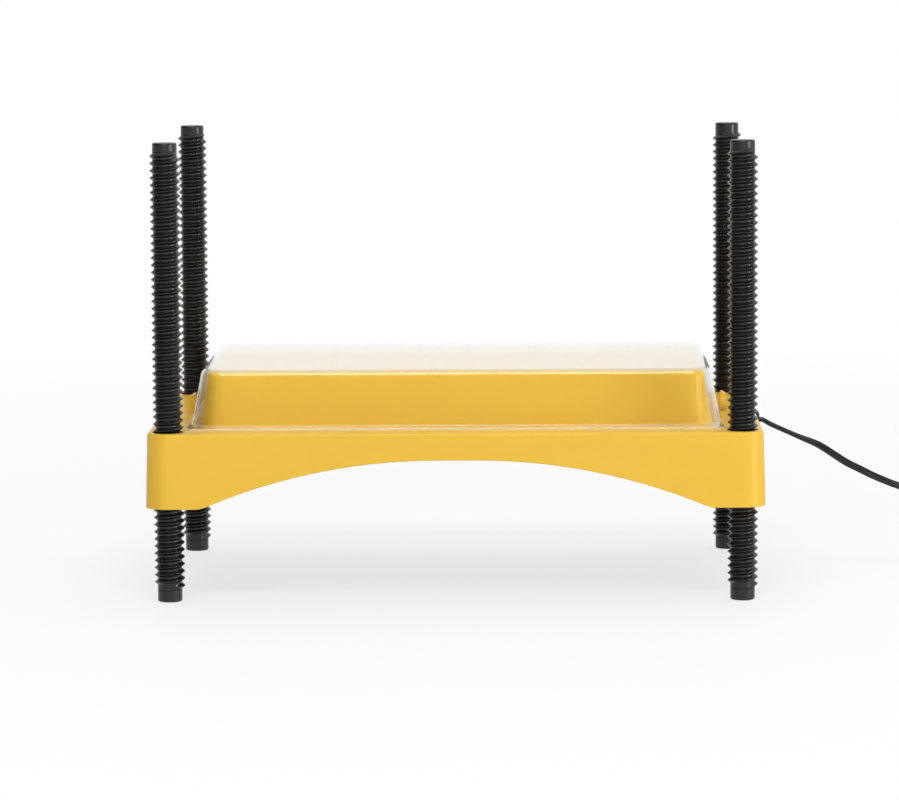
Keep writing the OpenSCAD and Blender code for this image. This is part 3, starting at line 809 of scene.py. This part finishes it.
@dataclass
class ScrewLeg:
    """A leg with a single right-hand thread, and the plain foot that it turns on."""

    workshop: Workshop
    corner: Corner
    ridge_at: float
    axis_x: float = 138.8 * MM
    axis_y: float = 88.8 * MM
    length: float = 222.5 * MM
    root: float = 5.95 * MM
    crest: float = 7.35 * MM
    pitch: float = 3.5 * MM
    base: float = 2.5 * MM
    land: float = 0.5 * MM
    root_curve: Pair = (0.06 * MM, 0.14 * MM)
    shoulder: float = 0.78
    shoulder_out: float = 0.12 * MM
    crest_curve: Pair = (0.04 * MM, 0.16 * MM)
    run_out: float = 5.0 * MM
    bevel: float = 0.8 * MM
    steps: int = 44
    fade: float = 0.1
    tip: float = 6.0 * MM
    tip_edge: float = 0.3 * MM
    sole_hollow: float = 0.3 * MM
    sole_ring: Pair = (1.6 * MM, 1.2 * MM)
    knuckle: float = 0.25 * MM
    stem: float = 3.1 * MM
    stem_length: float = 9.6 * MM

    @property
    def place(self) -> Vector:
        """The foot of the leg's axis."""
        sign_x, sign_y = self.corner.value
        return Vector((sign_x * self.axis_x, sign_y * self.axis_y, 0.0))

    def _ridge(self) -> list[Pair]:
        """One pitch of the thread's outline.

        Returns:
            Pairs of radius and height about the ridge.
        """
        depth = self.crest - self.root
        root_up, root_out = self.root_curve
        crest_down, crest_in = self.crest_curve
        half = [
            (self.root, self.pitch / 2),
            (self.root, self.base / 2 + root_out),
            (self.root + root_up, self.base / 2),
            (self.root + self.shoulder * depth, self.land / 2 + self.shoulder_out),
            (self.crest - crest_down, self.land / 2 - crest_down),
            (self.crest, self.land / 2 - crest_in),
        ]
        return [(radius, -z) for radius, z in half] + half[::-1]

    def _thread(self) -> Shape:
        """Sweeps the ridge up the leg, and lays it flat past the thread's two ends.

        Returns:
            The swept shape, longer than the leg and open at both ends.
        """
        shape = bmesh.new()
        turns = math.ceil(self.length / self.pitch) + 3
        low = self.ridge_at - self.pitch * (math.ceil(self.ridge_at / self.pitch) + 1)
        start = self.place + UP * low
        line = outlined(shape, [start - RIGHT * radius + UP * z for radius, z in self._ridge()])
        bmesh.ops.spin(
            shape, geom=line, cent=start, axis=UP, dvec=UP * (self.pitch / self.steps), angle=math.tau,
            steps=self.steps, use_merge=False, use_duplicate=False)
        first_turn = shape.verts[:] + shape.edges[:] + shape.faces[:]
        for turn in range(1, turns):
            copied = bmesh.ops.duplicate(shape, geom=first_turn)["geom"]
            bmesh.ops.translate(shape, vec=UP * (turn * self.pitch), verts=only(Vert, copied))
        bmesh.ops.remove_doubles(shape, verts=shape.verts, dist=WELD)
        first = (self.tip + self.base / 2 - low) / self.pitch
        last = (self.length - self.run_out - low) / self.pitch
        for vert in shape.verts:
            self._lay(vert, low, first, last)
        return shape

    def _lay(self, vert: Vert, low: float, first: float, last: float) -> None:
        """Lays a point of the ridge on the root where it is past an end of the thread.

        Args:
            vert: The point.
            low: Height of the ridge where the sweep starts.
            first: Turns from there to the thread's lower end.
            last: Turns from there to its upper end.
        """
        out = vert.co - self.place
        out.z = 0.0
        turn = (math.atan2(out.y, out.x) / math.tau - 0.5) % 1.0
        along = turn + round((vert.co.z - low) / self.pitch - turn)
        share = min(1.0, max(0.0, (last - along) / self.fade), max(0.0, (along - first) / self.fade))
        wanted = self.root + (out.length - self.root) * share
        vert.co += out.normalized() * (wanted - out.length)

    def _cut_off(self, shape: Shape, height: float, above: bool) -> list[Edge]:
        """Cuts the leg square at a height.

        Args:
            shape: The leg.
            height: The height.
            above: Whether what is above goes, or else what is below.

        Returns:
            The rim of the cut.
        """
        cut = bmesh.ops.bisect_plane(
            shape, geom=shape.verts[:] + shape.edges[:] + shape.faces[:], dist=WELD / 10,
            plane_co=UP * height, plane_no=UP, clear_outer=above, clear_inner=not above)
        return only(Edge, cut["geom_cut"])

    def _round_over(self, shape: Shape, rim: list[Edge]) -> list[Edge]:
        """Draws the leg's top rim up and in.

        Args:
            shape: The leg.
            rim: The rim.

        Returns:
            The rim of the flat top.
        """
        for inward, up in rounding(self.bevel, count=3):
            drawn = bmesh.ops.extrude_edge_only(shape, edges=rim)["geom"]
            rim = only(Edge, drawn)
            ring = only(Vert, drawn)
            reach = (ring[0].co - self.place).xy.length
            shrink = (reach - inward) / reach
            bmesh.ops.scale(
                shape, vec=(shrink, shrink, 1.0), verts=ring, space=Matrix.Translation(-self.place))
            bmesh.ops.translate(shape, vec=UP * up, verts=ring)
        return rim

    def _foot(self) -> Shape:
        """Turns the foot, which has a hollow in its sole and a stem up into the leg.

        Returns:
            The foot.
        """
        shape = bmesh.new()
        end = self.tip + self.stem_length
        inner, outer = self.sole_ring
        turned(shape, [
            (0, self.sole_hollow), (self.root - inner, self.sole_hollow), (self.root - outer, 0),
            (self.root - self.bevel, 0), (self.root - self.knuckle, self.knuckle), (self.root, self.bevel),
            (self.root, self.tip - self.tip_edge), (self.root - self.tip_edge, self.tip),
            (self.stem, self.tip), (self.stem, end), (0, end),
        ], self.place, UP, RIGHT)
        return shape

    def build(self) -> None:
        """Builds the leg and its foot."""
        shape = self._thread()
        bmesh.ops.edgeloop_fill(shape, edges=self._cut_off(shape, self.tip, above=False))
        rim = self._cut_off(shape, self.length - self.bevel, above=True)
        bmesh.ops.edgeloop_fill(shape, edges=self._round_over(shape, rim))
        label = self.corner.label
        for form, name, kind in ((shape, "threaded_leg", "leg"), (self._foot(), "leg_foot", "foot")):
            self.workshop.piece(
                form, f"{name}_{label}", "black_plastic", [f"{kind}_{label}"], f"{label}_{kind}")


def smooth_through(points: Sequence[Vector], spacing: float) -> list[Vector]:
    """A smooth line through points.

    Args:
        points: The points, in order.
        spacing: About how far apart the line's own points are.

    Returns:
        The line's points.
    """
    times = [0.0]
    for a, b in zip(points, points[1:]):
        times.append(times[-1] + (b - a).length)
    last = len(points) - 1
    slopes = []
    for i in range(len(points)):
        before = max(i - 1, 0)
        after = min(i + 1, last)
        slopes.append((points[after] - points[before]) / (times[after] - times[before]))
    line = [points[0].copy()]
    for i in range(last):
        span = times[i + 1] - times[i]
        count = max(1, round(span / spacing))
        for k in range(1, count + 1):
            s = k / count
            line.append(
                points[i] * (2 * s ** 3 - 3 * s ** 2 + 1) + slopes[i] * span * (s ** 3 - 2 * s ** 2 + s)
                + points[i + 1] * (3 * s ** 2 - 2 * s ** 3) + slopes[i + 1] * span * (s ** 3 - s ** 2))
    return line


def polyline(name: str, points: Sequence[Sequence[float]], section: bool) -> Thing:
    """A curve of straight lines.

    Args:
        name: The curve's name.
        points: Its points, in metres.
        section: Whether it is a flat closed section, or else an open line in space.

    Returns:
        The curve's object.
    """
    data = bpy.data.curves.new(name, "CURVE")
    data.dimensions = "2D" if section else "3D"
    spline = data.splines.new("POLY")
    spline.points.add(len(points) - 1)
    for point, spot in zip(spline.points, points):
        point.co = (*spot, 1.0)
    spline.use_cyclic_u = section
    return shown(name, data)


@dataclass
class Lead:
    """The flat twin lead: out of the frame, down to the floor, round its coil and on to the adaptor.

    Its sizes are in millimetres. The fall has rows of how far out, how far across and what share of the
    height is left. The twist has pairs of distance along the lead and angle in degrees.
    """

    workshop: Workshop
    width: float = 3.7
    thick: float = 2.4
    gap: float = 0.55
    start: Triple = (151.2466, 0.0, 77.5)
    straight: float = 1.5
    reach: float = 152.0
    coil_y: float = -32.5
    coil_z: float = 2.6
    coil_mean: float = 38.6
    coil_turns: int = 3
    coil_layers: int = 4
    coil_rings: int = 24
    coil_past: float = 0.25
    layer_climb: float = 0.5
    run_in: float = 4.0
    boot_y: float = 17.0
    boot_z: float = 12.0
    boot_lead_in: Pair = (9.0, 4.0)
    boot_dip: float = 0.4
    hidden_end: float = 22.0
    spacing: float = 1.6
    core_edges: int = 8
    fall: tuple[Triple, ...] = (
        (5, 0, 0.973), (11.5, 0, 0.933), (20.5, 0, 0.88), (29, 0, 0.833), (34, 0, 0.793), (38.5, 0, 0.753),
        (44, 0, 0.706), (50, 0, 0.666), (57, 0, 0.619), (65, 0, 0.573), (73, -0.5, 0.533), (82, -3, 0.479),
        (91, -7.5, 0.419), (100, -13, 0.346), (109, -18.5, 0.259), (117, -23.5, 0.172),
        (125, -28, 0.092), (132, -30.5, 0.039), (139, -32, 0.005),
    )
    twist: tuple[Pair, ...] = ((0, 0), (15, 0), (45, 82), (58, 80), (75, 55), (105, 0))

    @property
    def coil_step(self) -> float:
        """How far apart the coil's turns are."""
        return self.width + self.gap

    @property
    def coil_out(self) -> float:
        """Radius of the coil's outer turn."""
        return self.coil_mean / 2 + self.coil_step * self.coil_turns / 2

    @property
    def coil_centre(self) -> Vector:
        """Middle of the coil on the floor."""
        return Vector((self.start[0] + self.reach, self.coil_y + self.coil_out, 0.0))

    def _coil_point(self, turn: float) -> Vector:
        """A point of the coil, which goes in and out again, layer on layer.

        Args:
            turn: How many turns along.

        Returns:
            The point.
        """
        count = self.coil_turns
        whole = self.coil_layers * count
        phase = turn % (2 * count)
        inward = whole - turn if turn > whole else min(phase, 2 * count - phase)
        radius = self.coil_out - self.coil_step * inward
        climbs = [
            (turn - layer * count + self.layer_climb / 2) / self.layer_climb
            for layer in range(1, self.coil_layers)
        ]
        rise = sum(min(1.0, max(0.0, share)) for share in climbs)
        angle = math.tau * turn - math.pi / 2
        height = self.coil_z + (self.thick + self.gap) * rise
        return self.coil_centre + Vector((radius * math.cos(angle), radius * math.sin(angle), height))

    def route(self) -> list[Vector]:
        """The lead's centreline.

        Returns:
            The points that the lead goes through.
        """
        x, y, z = self.start
        first = [Vector(self.start), Vector((x + self.straight, y, z))]
        first += [Vector((x + out, across, self.coil_z + (z - self.coil_z) * share))
                  for out, across, share in self.fall]
        count = round((self.coil_layers * self.coil_turns + self.coil_past) * self.coil_rings)
        coil = [self._coil_point(i / self.coil_rings) for i in range(count + 1)]
        lead_in = coil[0] - RIGHT * self.width
        tail = coil[-1] + BACK * self.width
        far, near = self.boot_lead_in
        last = [
            tail,
            tail + BACK * self.run_in,
            Vector((tail.x, self.boot_y - far, self.boot_z - self.boot_dip)),
            Vector((tail.x, self.boot_y - near, self.boot_z)),
            Vector((tail.x, self.boot_y + self.hidden_end, self.boot_z)),
        ]
        return first + [lead_in - RIGHT * self.run_in, lead_in] + coil + last

    def _tilt(self, along: float) -> float:
        """How far the flat lead is twisted.

        Args:
            along: The distance from the lead's start.

        Returns:
            The angle in radians.
        """
        for (a, low), (b, high) in zip(self.twist, self.twist[1:]):
            if a <= along <= b:
                s = (along - a) / (b - a)
                return math.radians(low + (high - low) * s * s * (3 - 2 * s))
        return 0.0

    def _section(self) -> Thing:
        """The lead's section, two round cores side by side.

        Returns:
            The section's object.
        """
        core = self.thick / 2
        offset = self.width / 2 - core
        swing = math.acos(-offset / core)
        points = []
        for sign in (1, -1):
            for i in range(self.core_edges + 1):
                angle = -swing + 2 * swing * i / self.core_edges
                u = sign * (offset + core * math.cos(angle))
                v = sign * core * math.sin(angle)
                points.append((u * MM, v * MM, 0.0))
        return polyline("lead_section", points, section=True)

    def build(self, on_it: Sequence[Thing]) -> None:
        """Builds the lead.

        Args:
            on_it: The pieces on the lead, such as its adaptor. Not used.
        """
        line = smooth_through(self.route(), self.spacing)
        section = self._section()
        run = polyline("lead_line", [spot * MM for spot in line], section=False)
        run.data.twist_mode = "Z_UP"
        run.data.bevel_mode = "OBJECT"
        run.data.bevel_object = section
        run.data.use_fill_caps = True
        along = 0.0
        for i, point in enumerate(run.data.splines[0].points):
            along += (line[i] - line[i - 1]).length if i else 0.0
            point.tilt = self._tilt(along)
        shape = bmesh.new()
        shape.from_mesh(settled(run))
        for thing in (run, section):
            bpy.data.objects.remove(thing)
        lead = self.workshop.piece(shape, "lead", "black_cord", ["lead_run", "lead_coil", "lead_tail"])
        LOG.info("the lead is %.4f m long", along * MM)


@dataclass
class CoilTie:
    """The flat band that holds the coil together."""

    workshop: Workshop
    lead: Lead
    thick: float = 0.8 * MM
    width: float = 6.0 * MM
    corner: float = 1.6 * MM
    edge: float = 0.22 * MM
    play: float = 0.6 * MM
    lift: float = 0.1 * MM
    angle: float = 150.0

    def build(self) -> Thing:
        """Builds the band.

        Returns:
            The band's object.
        """
        lead = self.lead
        room = self.play + self.thick
        outer = (lead.coil_out + lead.width / 2) * MM + room
        inner = (lead.coil_out - lead.coil_step * lead.coil_turns - lead.width / 2) * MM - room
        rise = (lead.thick + lead.gap) * (lead.coil_layers - 1)
        top = (lead.coil_z + rise + lead.thick / 2) * MM + room
        shape = bmesh.new()
        face = rounded_plate(shape, outer - inner, top - self.lift, self.corner, segments=5)
        drawn = bmesh.ops.inset_region(
            shape, faces=[face], thickness=self.thick, use_boundary=True, use_even_offset=True)["faces"]
        bmesh.ops.delete(shape, geom=[face], context="FACES")
        wall = bmesh.ops.extrude_face_region(shape, geom=drawn)["geom"]
        bmesh.ops.translate(shape, vec=UP * self.width, verts=only(Vert, wall))
        ease_edges(shape, self.edge, segments=2)
        stand = Matrix.Translation((0, 0, -self.width / 2))
        upright = Matrix.Rotation(math.radians(90), 4, "X")
        shift = Matrix.Translation(((outer + inner) / 2, 0, (top + self.lift) / 2))
        swing = Matrix.Rotation(math.radians(self.angle), 4, "Z")
        home = Matrix.Translation(lead.coil_centre * MM)
        bmesh.ops.transform(shape, matrix=home @ swing @ shift @ upright @ stand, verts=shape.verts)
        return self.workshop.piece(shape, "lead_tie", "plate_black", ["coil_tie"])


@dataclass
class Adaptor:
    """The plug-in adaptor at the end of the lead, lying on its back with its blades up.

    The outline of a rib is in millimetres, from the rib's own radius and start.
    """

    workshop: Workshop
    lead: Lead
    width: float = 45.0 * MM
    length: float = 62.0 * MM
    height: float = 30.0 * MM
    corner: float = 6.0 * MM
    lean: float = 1.0 * MM
    edge: float = 2.5 * MM
    seam: float = 0.2 * MM
    face_rim: float = 2.0 * MM
    recess: Pair = (0.25 * MM, -0.35 * MM)
    boot_length: float = 12.0 * MM
    boot_mouth: Pair = (1.95 * MM, 0.4 * MM)
    boot_heel: Pair = (4.25 * MM, 0.5 * MM)
    ribs: int = 4
    rib_radius: float = 2.6 * MM
    rib_growth: float = 0.42 * MM
    rib_outline: tuple[Pair, ...] = (
        (-0.12, 0.0), (0.0, 0.15), (0.2, 1.7), (0.08, 1.9), (-0.45, 2.0), (-0.4, 2.9),
    )
    blade_size: Triple = (1.5 * MM, 6.3 * MM, 21.0 * MM)
    blade_gap: float = 12.7 * MM
    blade_share: float = 0.62
    blade_sunk: float = 4.0 * MM
    blade_corner: float = 1.4 * MM
    blade_edge: float = 0.18 * MM
    hole_radius: float = 1.55 * MM
    hole_from_tip: float = 4.2 * MM

    @property
    def middle(self) -> Vector:
        """The middle of the adaptor's back, on the floor."""
        tail = self.lead.route()[-1]
        return Vector((tail.x * MM, self.lead.boot_y * MM + self.boot_length + self.length / 2, 0.0))

    def _half(self, name: str, upper: bool, node: str) -> Thing:
        """One half of the case.

        Args:
            name: The piece's name.
            upper: Whether it is the half with the blades.
            node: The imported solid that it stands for.

        Returns:
            The half's object.
        """
        shape = bmesh.new()
        face = rounded_plate(shape, self.width, self.length, self.corner)
        tall = self.height / 2 - self.seam
        climb(shape, face, [(self.lean, tall - self.edge)] + rounding(self.edge, count=5))
        if upper:
            climb(shape, face, [(self.face_rim, 0.0), self.recess])
        rim = [edge for edge in shape.edges if edge.is_boundary]
        bmesh.ops.edgeloop_fill(shape, edges=rim)
        if not upper:
            bmesh.ops.scale(shape, vec=(1, 1, -1), verts=shape.verts)
        lift = self.height / 2 + (self.seam if upper else -self.seam)
        bmesh.ops.translate(shape, vec=self.middle + UP * lift, verts=shape.verts)
        return self.workshop.piece(shape, name, "plate_black", [node])

    def _boot(self) -> Thing:
        """The ribbed boot where the lead goes in.

        Returns:
            The boot's object.
        """
        shape = bmesh.new()
        base = Vector((self.middle.x, self.lead.boot_y * MM, self.lead.boot_z * MM))
        mouth, mouth_deep = self.boot_mouth
        heel, heel_deep = self.boot_heel
        outline = [(0.0, mouth_deep), (mouth, 0.0)]
        for i in range(self.ribs):
            start = self.boot_length * i / self.ribs
            wide = self.rib_radius + self.rib_growth * i
            outline += [(wide + out * MM, start + along * MM) for out, along in self.rib_outline]
        outline += [(heel, self.boot_length), (0.0, self.boot_length + heel_deep)]
        turned(shape, outline, base, BACK, RIGHT, steps=32)
        return self.workshop.piece(shape, "lead_boot", "black_cord", ["adaptor_boot"])

    def _blades(self) -> Thing:
        """The two plated blades, each with round corners and a hole near its tip.

        Returns:
            The blades' object.
        """
        shape = bmesh.new()
        holes = bmesh.new()
        thick, _, long = self.blade_size
        tip = self.height - self.blade_sunk + long
        across = self.middle.y - self.length / 2 + self.length * self.blade_share
        for side in (-1, 1):
            centre = Vector((self.middle.x + side * self.blade_gap / 2, across, tip - long / 2))
            fresh = block(shape, self.blade_size)
            ends = [
                edge for edge in {edge for vert in fresh for edge in vert.link_edges}
                if all(vert.co.z > 0 for vert in edge.verts)
                and edge.verts[0].co.y * edge.verts[1].co.y > 0
                and edge.verts[0].co.x * edge.verts[1].co.x < 0
            ]
            bmesh.ops.translate(shape, vec=centre, verts=fresh)
            round_off(shape, ends, self.blade_corner, segments=5)
            spot = Matrix.Translation((centre.x, across, tip - self.hole_from_tip))
            bmesh.ops.create_cone(
                holes, cap_ends=True, segments=24, radius1=self.hole_radius, radius2=self.hole_radius,
                depth=4 * thick, matrix=spot @ Matrix.Rotation(math.pi / 2, 4, "Y"))
        ease_edges(shape, self.blade_edge, segments=2)
        mesh = carve(shape, holes, "blades")
        return self.workshop.adopt(mesh, "blades", "plated_blade", ["plug_blades"])

    def build(self) -> list[Thing]:
        """Builds the adaptor.

        Returns:
            Its pieces.
        """
        return [
            self._half("adaptor_back", False, "adaptor_base"),
            self._half("adaptor_face", True, "adaptor_cap"),
            self._boot(),
            self._blades(),
        ]


@dataclass
class CordEntry:
    """The moulded stop on the lead where it leaves the frame."""

    workshop: Workshop
    lead: Lead
    block_size: Triple = (7.0 * MM, 14.0 * MM, 5.0 * MM)
    block_at: Triple = (139.5 * MM, 0.0, 77.2 * MM)
    block_edge: float = 0.6 * MM
    overlap: float = 0.3 * MM
    neck: float = 3.0 * MM
    collar: float = 4.0 * MM
    collar_thick: float = 2.0 * MM
    collar_edge: float = 0.7 * MM
    collar_bulge: float = 0.2 * MM

    def build(self) -> None:
        """Builds the stop: a block inside the frame, and a neck and a collar on the lead."""
        shape = bmesh.new()
        bmesh.ops.translate(shape, vec=self.block_at, verts=block(shape, self.block_size))
        ease_edges(shape, self.block_edge, segments=3)
        back = self.block_at[0] + self.block_size[0] / 2 - self.overlap
        reach = self.lead.start[0] * MM - back
        turned(shape, [
            (0.0, 0.0), (self.neck, 0.0), (self.neck, reach - self.collar_thick),
            (self.collar, reach - self.collar_thick), (self.collar, reach - self.collar_edge),
            (self.collar - self.collar_bulge, reach - self.collar_bulge),
            (self.collar - self.collar_edge, reach), (0.0, reach),
        ], Vector((back, 0.0, self.lead.start[2] * MM)), RIGHT, UP, steps=32)
        self.workshop.piece(shape, "cord_stop", "black_cord", ["strain_relief"])


@dataclass
class PlateScrews:
    """The screws that hold the warm plate, with a cross in each sunk head."""

    workshop: Workshop
    head: float = 2.8 * MM
    head_edge: float = 0.15 * MM
    head_tall: float = 1.6 * MM
    shank: float = 1.45 * MM
    under_head: float = 7.0 * MM
    point: float = 1.2 * MM
    slot_wide: float = 0.75 * MM
    slot_long: float = 3.4 * MM
    slot_deep: float = 0.9 * MM
    level: float = 0.01 * MM

    def _spots(self) -> list[Vector]:
        """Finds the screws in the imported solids.

        Returns:
            The middle of each head's lower face.
        """
        low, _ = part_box("plate_screws")
        shape = self.workshop.copy_of("plate_screws")
        rings: list[list[Vector]] = []
        for spot in [vert.co.copy() for vert in shape.verts if abs(vert.co.z - low.z) < self.level]:
            near = [ring for ring in rings if (ring[0] - spot).length < 4 * self.head]
            if near:
                near[0].append(spot)
            else:
                rings.append([spot])
        shape.free()
        centres = []
        for ring in rings:
            xs = [spot.x for spot in ring]
            ys = [spot.y for spot in ring]
            centres.append(Vector(((min(xs) + max(xs)) / 2, (min(ys) + max(ys)) / 2, low.z)))
        return centres

    def build(self) -> None:
        """Builds the screws."""
        shape = bmesh.new()
        crosses = bmesh.new()
        end = self.head_tall + self.under_head
        reach = (self.slot_long - self.slot_wide) / 2
        for spot in self._spots():
            turned(shape, [
                (0.0, 0.0), (self.head - self.head_edge, 0.0), (self.head, self.head_edge),
                (self.shank, self.head_tall), (self.shank, end - self.point), (0.0, end),
            ], spot, UP, RIGHT, steps=28)
            heart = block(crosses, (self.slot_wide, self.slot_wide, 2 * self.slot_deep))
            sides = [face for face in {f for v in heart for f in v.link_faces} if abs(face.normal.z) < 0.5]
            bmesh.ops.translate(crosses, vec=spot, verts=heart)
            for arm in bmesh.ops.extrude_discrete_faces(crosses, faces=sides)["faces"]:
                outward = (arm.calc_center_median() - spot) * (RIGHT + BACK)
                bmesh.ops.translate(crosses, vec=outward.normalized() * reach, verts=arm.verts)
        mesh = carve(shape, crosses, "cross_head_screws")
        self.workshop.adopt(mesh, "cross_head_screws", "steel", ["plate_screws"])


@dataclass(frozen=True)
class SoftBox:
    """A soft lamp aimed at the part, with its place and size in metres and its power in watts."""

    name: str
    place: Triple
    size: Pair
    power: float
    aim: Triple = (0.0, 0.0, 0.1)

    def build(self) -> None:
        """Hangs the lamp."""
        data = bpy.data.lights.new(self.name, "AREA")
        data.shape = "RECTANGLE"
        data.size, data.size_y = self.size
        data.energy = self.power
        lamp = shown(self.name, data)
        lamp.location = self.place
        lamp.rotation_euler = (Vector(self.aim) - Vector(self.place)).to_track_quat("-Z", "Y").to_euler()


@dataclass
class Studio:
    """The camera, the lamps, the floor and the white surroundings.

    The room and the floor have pairs of where a change starts or ends and the level there.
    """

    lens: float = 180.36
    sensor: float = 36.0
    sight: float = 100.0
    camera_at: Triple = (0.0384, -2.2503, 0.3309)
    pitch: float = 6.16
    yaw: float = 1.0857
    roll: float = 0.3732
    room_front_to_back: tuple[Pair, Pair] = ((-0.35, 0.08), (0.35, 1.0))
    room_left_to_right: tuple[Pair, Pair] = ((-0.75, 0.15), (-0.25, 1.0))
    floor_size: float = 30.0
    floor_colour: Colour = (0.88, 0.88, 0.875)
    floor_near_to_far: tuple[Pair, Pair] = ((0.3, 0.72), (1.2, 1.0))
    lamps: tuple[SoftBox, ...] = (
        SoftBox("key", (0.0, -2.0, 2.4), (2.6, 1.2), 59.0),
        SoftBox("front", (0.5, -3.2, 0.45), (3.0, 0.7), 10.0),
        SoftBox("left", (-1.9, -2.4, 1.2), (1.6, 1.6), 2.0),
        SoftBox("right", (2.65, -1.4, 0.32), (0.9, 0.5), 26.0),
        SoftBox("top", (0.0, 0.4, 2.2), (2.0, 1.6), 6.0),
    )

    def _camera(self) -> None:
        """The camera at the photograph's place."""
        data = bpy.data.cameras.new("camera")
        data.lens = self.lens
        data.sensor_width = self.sensor
        data.sensor_fit = "HORIZONTAL"
        data.clip_end = self.sight
        camera = shown("camera", data)
        turn = (
            Matrix.Rotation(math.radians(self.yaw), 4, "Z")
            @ Matrix.Rotation(math.radians(90 - self.pitch), 4, "X")
            @ Matrix.Rotation(math.radians(-self.roll), 4, "Z")
        )
        camera.matrix_world = Matrix.Translation(self.camera_at) @ turn
        bpy.context.scene.camera = camera

    def _world(self) -> None:
        """White surroundings for the camera, and a studio that is bright behind and dim in front and left."""
        world = bpy.data.worlds.new("studio")
        world.use_nodes = True
        bpy.context.scene.world = world
        graph = Graph(world.node_tree)
        graph.tree.nodes.clear()
        way = graph.axes(graph.add("ShaderNodeTexCoord").outputs["Generated"])
        depth = graph.ramp(way["Y"], *self.room_front_to_back)
        side = graph.ramp(way["X"], *self.room_left_to_right)
        white = graph.add("ShaderNodeBackground", Color=(1, 1, 1, 1))
        room = graph.add("ShaderNodeBackground", Color=(1, 1, 1, 1))
        graph.link(graph.maths("MULTIPLY", depth, side), room.inputs["Strength"])
        seen = graph.add("ShaderNodeLightPath").outputs["Is Camera Ray"]
        out = graph.add("ShaderNodeOutputWorld")
        graph.link(graph.mixed(seen, room.outputs[0], white.outputs[0]), out.inputs["Surface"])

    def _floor(self) -> None:
        """A plain pale floor that keeps the part's shadow and turns white further off."""
        surface = Surface("pale_floor")
        surface.set(Base_Color=(*self.floor_colour, 1.0), Roughness=0.6)
        path = surface.add("ShaderNodeLightPath").outputs
        seen = path["Is Camera Ray"]
        for name in ("Is Glossy Ray", "Is Transmission Ray"):
            seen = surface.maths("MAXIMUM", seen, path[name])
        far = surface.add("ShaderNodeVectorMath")
        far.operation = "LENGTH"
        surface.link(surface.place, far.inputs[0])
        reach = surface.ramp(far.outputs["Value"], *self.floor_near_to_far)
        share = surface.maths("MULTIPLY", seen, reach)
        glow = surface.add("ShaderNodeEmission")
        surface.show(surface.mixed(share, surface.shader.outputs[0], glow.outputs[0]))
        shape = bmesh.new()
        bmesh.ops.create_grid(shape, x_segments=1, y_segments=1, size=self.floor_size)
        floor = shown("floor", mesh_of(shape, "floor"))
        floor.data.materials.append(surface.material)

    def build(self) -> None:
        """Sets the stage."""
        bpy.context.scene.view_settings.view_transform = "Standard"
        self._camera()
        self._world()
        self._floor()
        for lamp in self.lamps:
            lamp.build()


def main() -> None:
    """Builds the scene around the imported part."""
    logging.basicConfig(level=logging.INFO, format="%(name)s: %(message)s")
    for thing in list(bpy.data.objects):
        bpy.data.objects.remove(thing)
    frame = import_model()
    finishes = Finishes()
    finishes.build()
    for row in frame["record"]["subparts"]:
        finishes.dress(frame["nodes"][row["node"]].data, row["material_slot"])
    workshop = Workshop(finishes, frame["nodes"])
    Studio().build()
    lead = Lead(workshop)
    on_lead = Adaptor(workshop, lead).build()
    on_lead.append(CoilTie(workshop, lead).build())
    lead.build(on_lead)
    CordEntry(workshop, lead).build()
    Moulding(workshop).build()
    ClearCover(workshop).build()
    # How high the thread's ridge stands on the left of each leg, at the leg's foot.
    ridges = {
        Corner.FRONT_LEFT: 2.53 * MM,
        Corner.FRONT_RIGHT: 2.36 * MM,
        Corner.BACK_LEFT: 2.23 * MM,
        Corner.BACK_RIGHT: 0.89 * MM,
    }
    for corner, ridge_at in ridges.items():
        ScrewLeg(workshop, corner, ridge_at).build()
    PlateScrews(workshop).build()


if __name__ == "__main__":
    main()
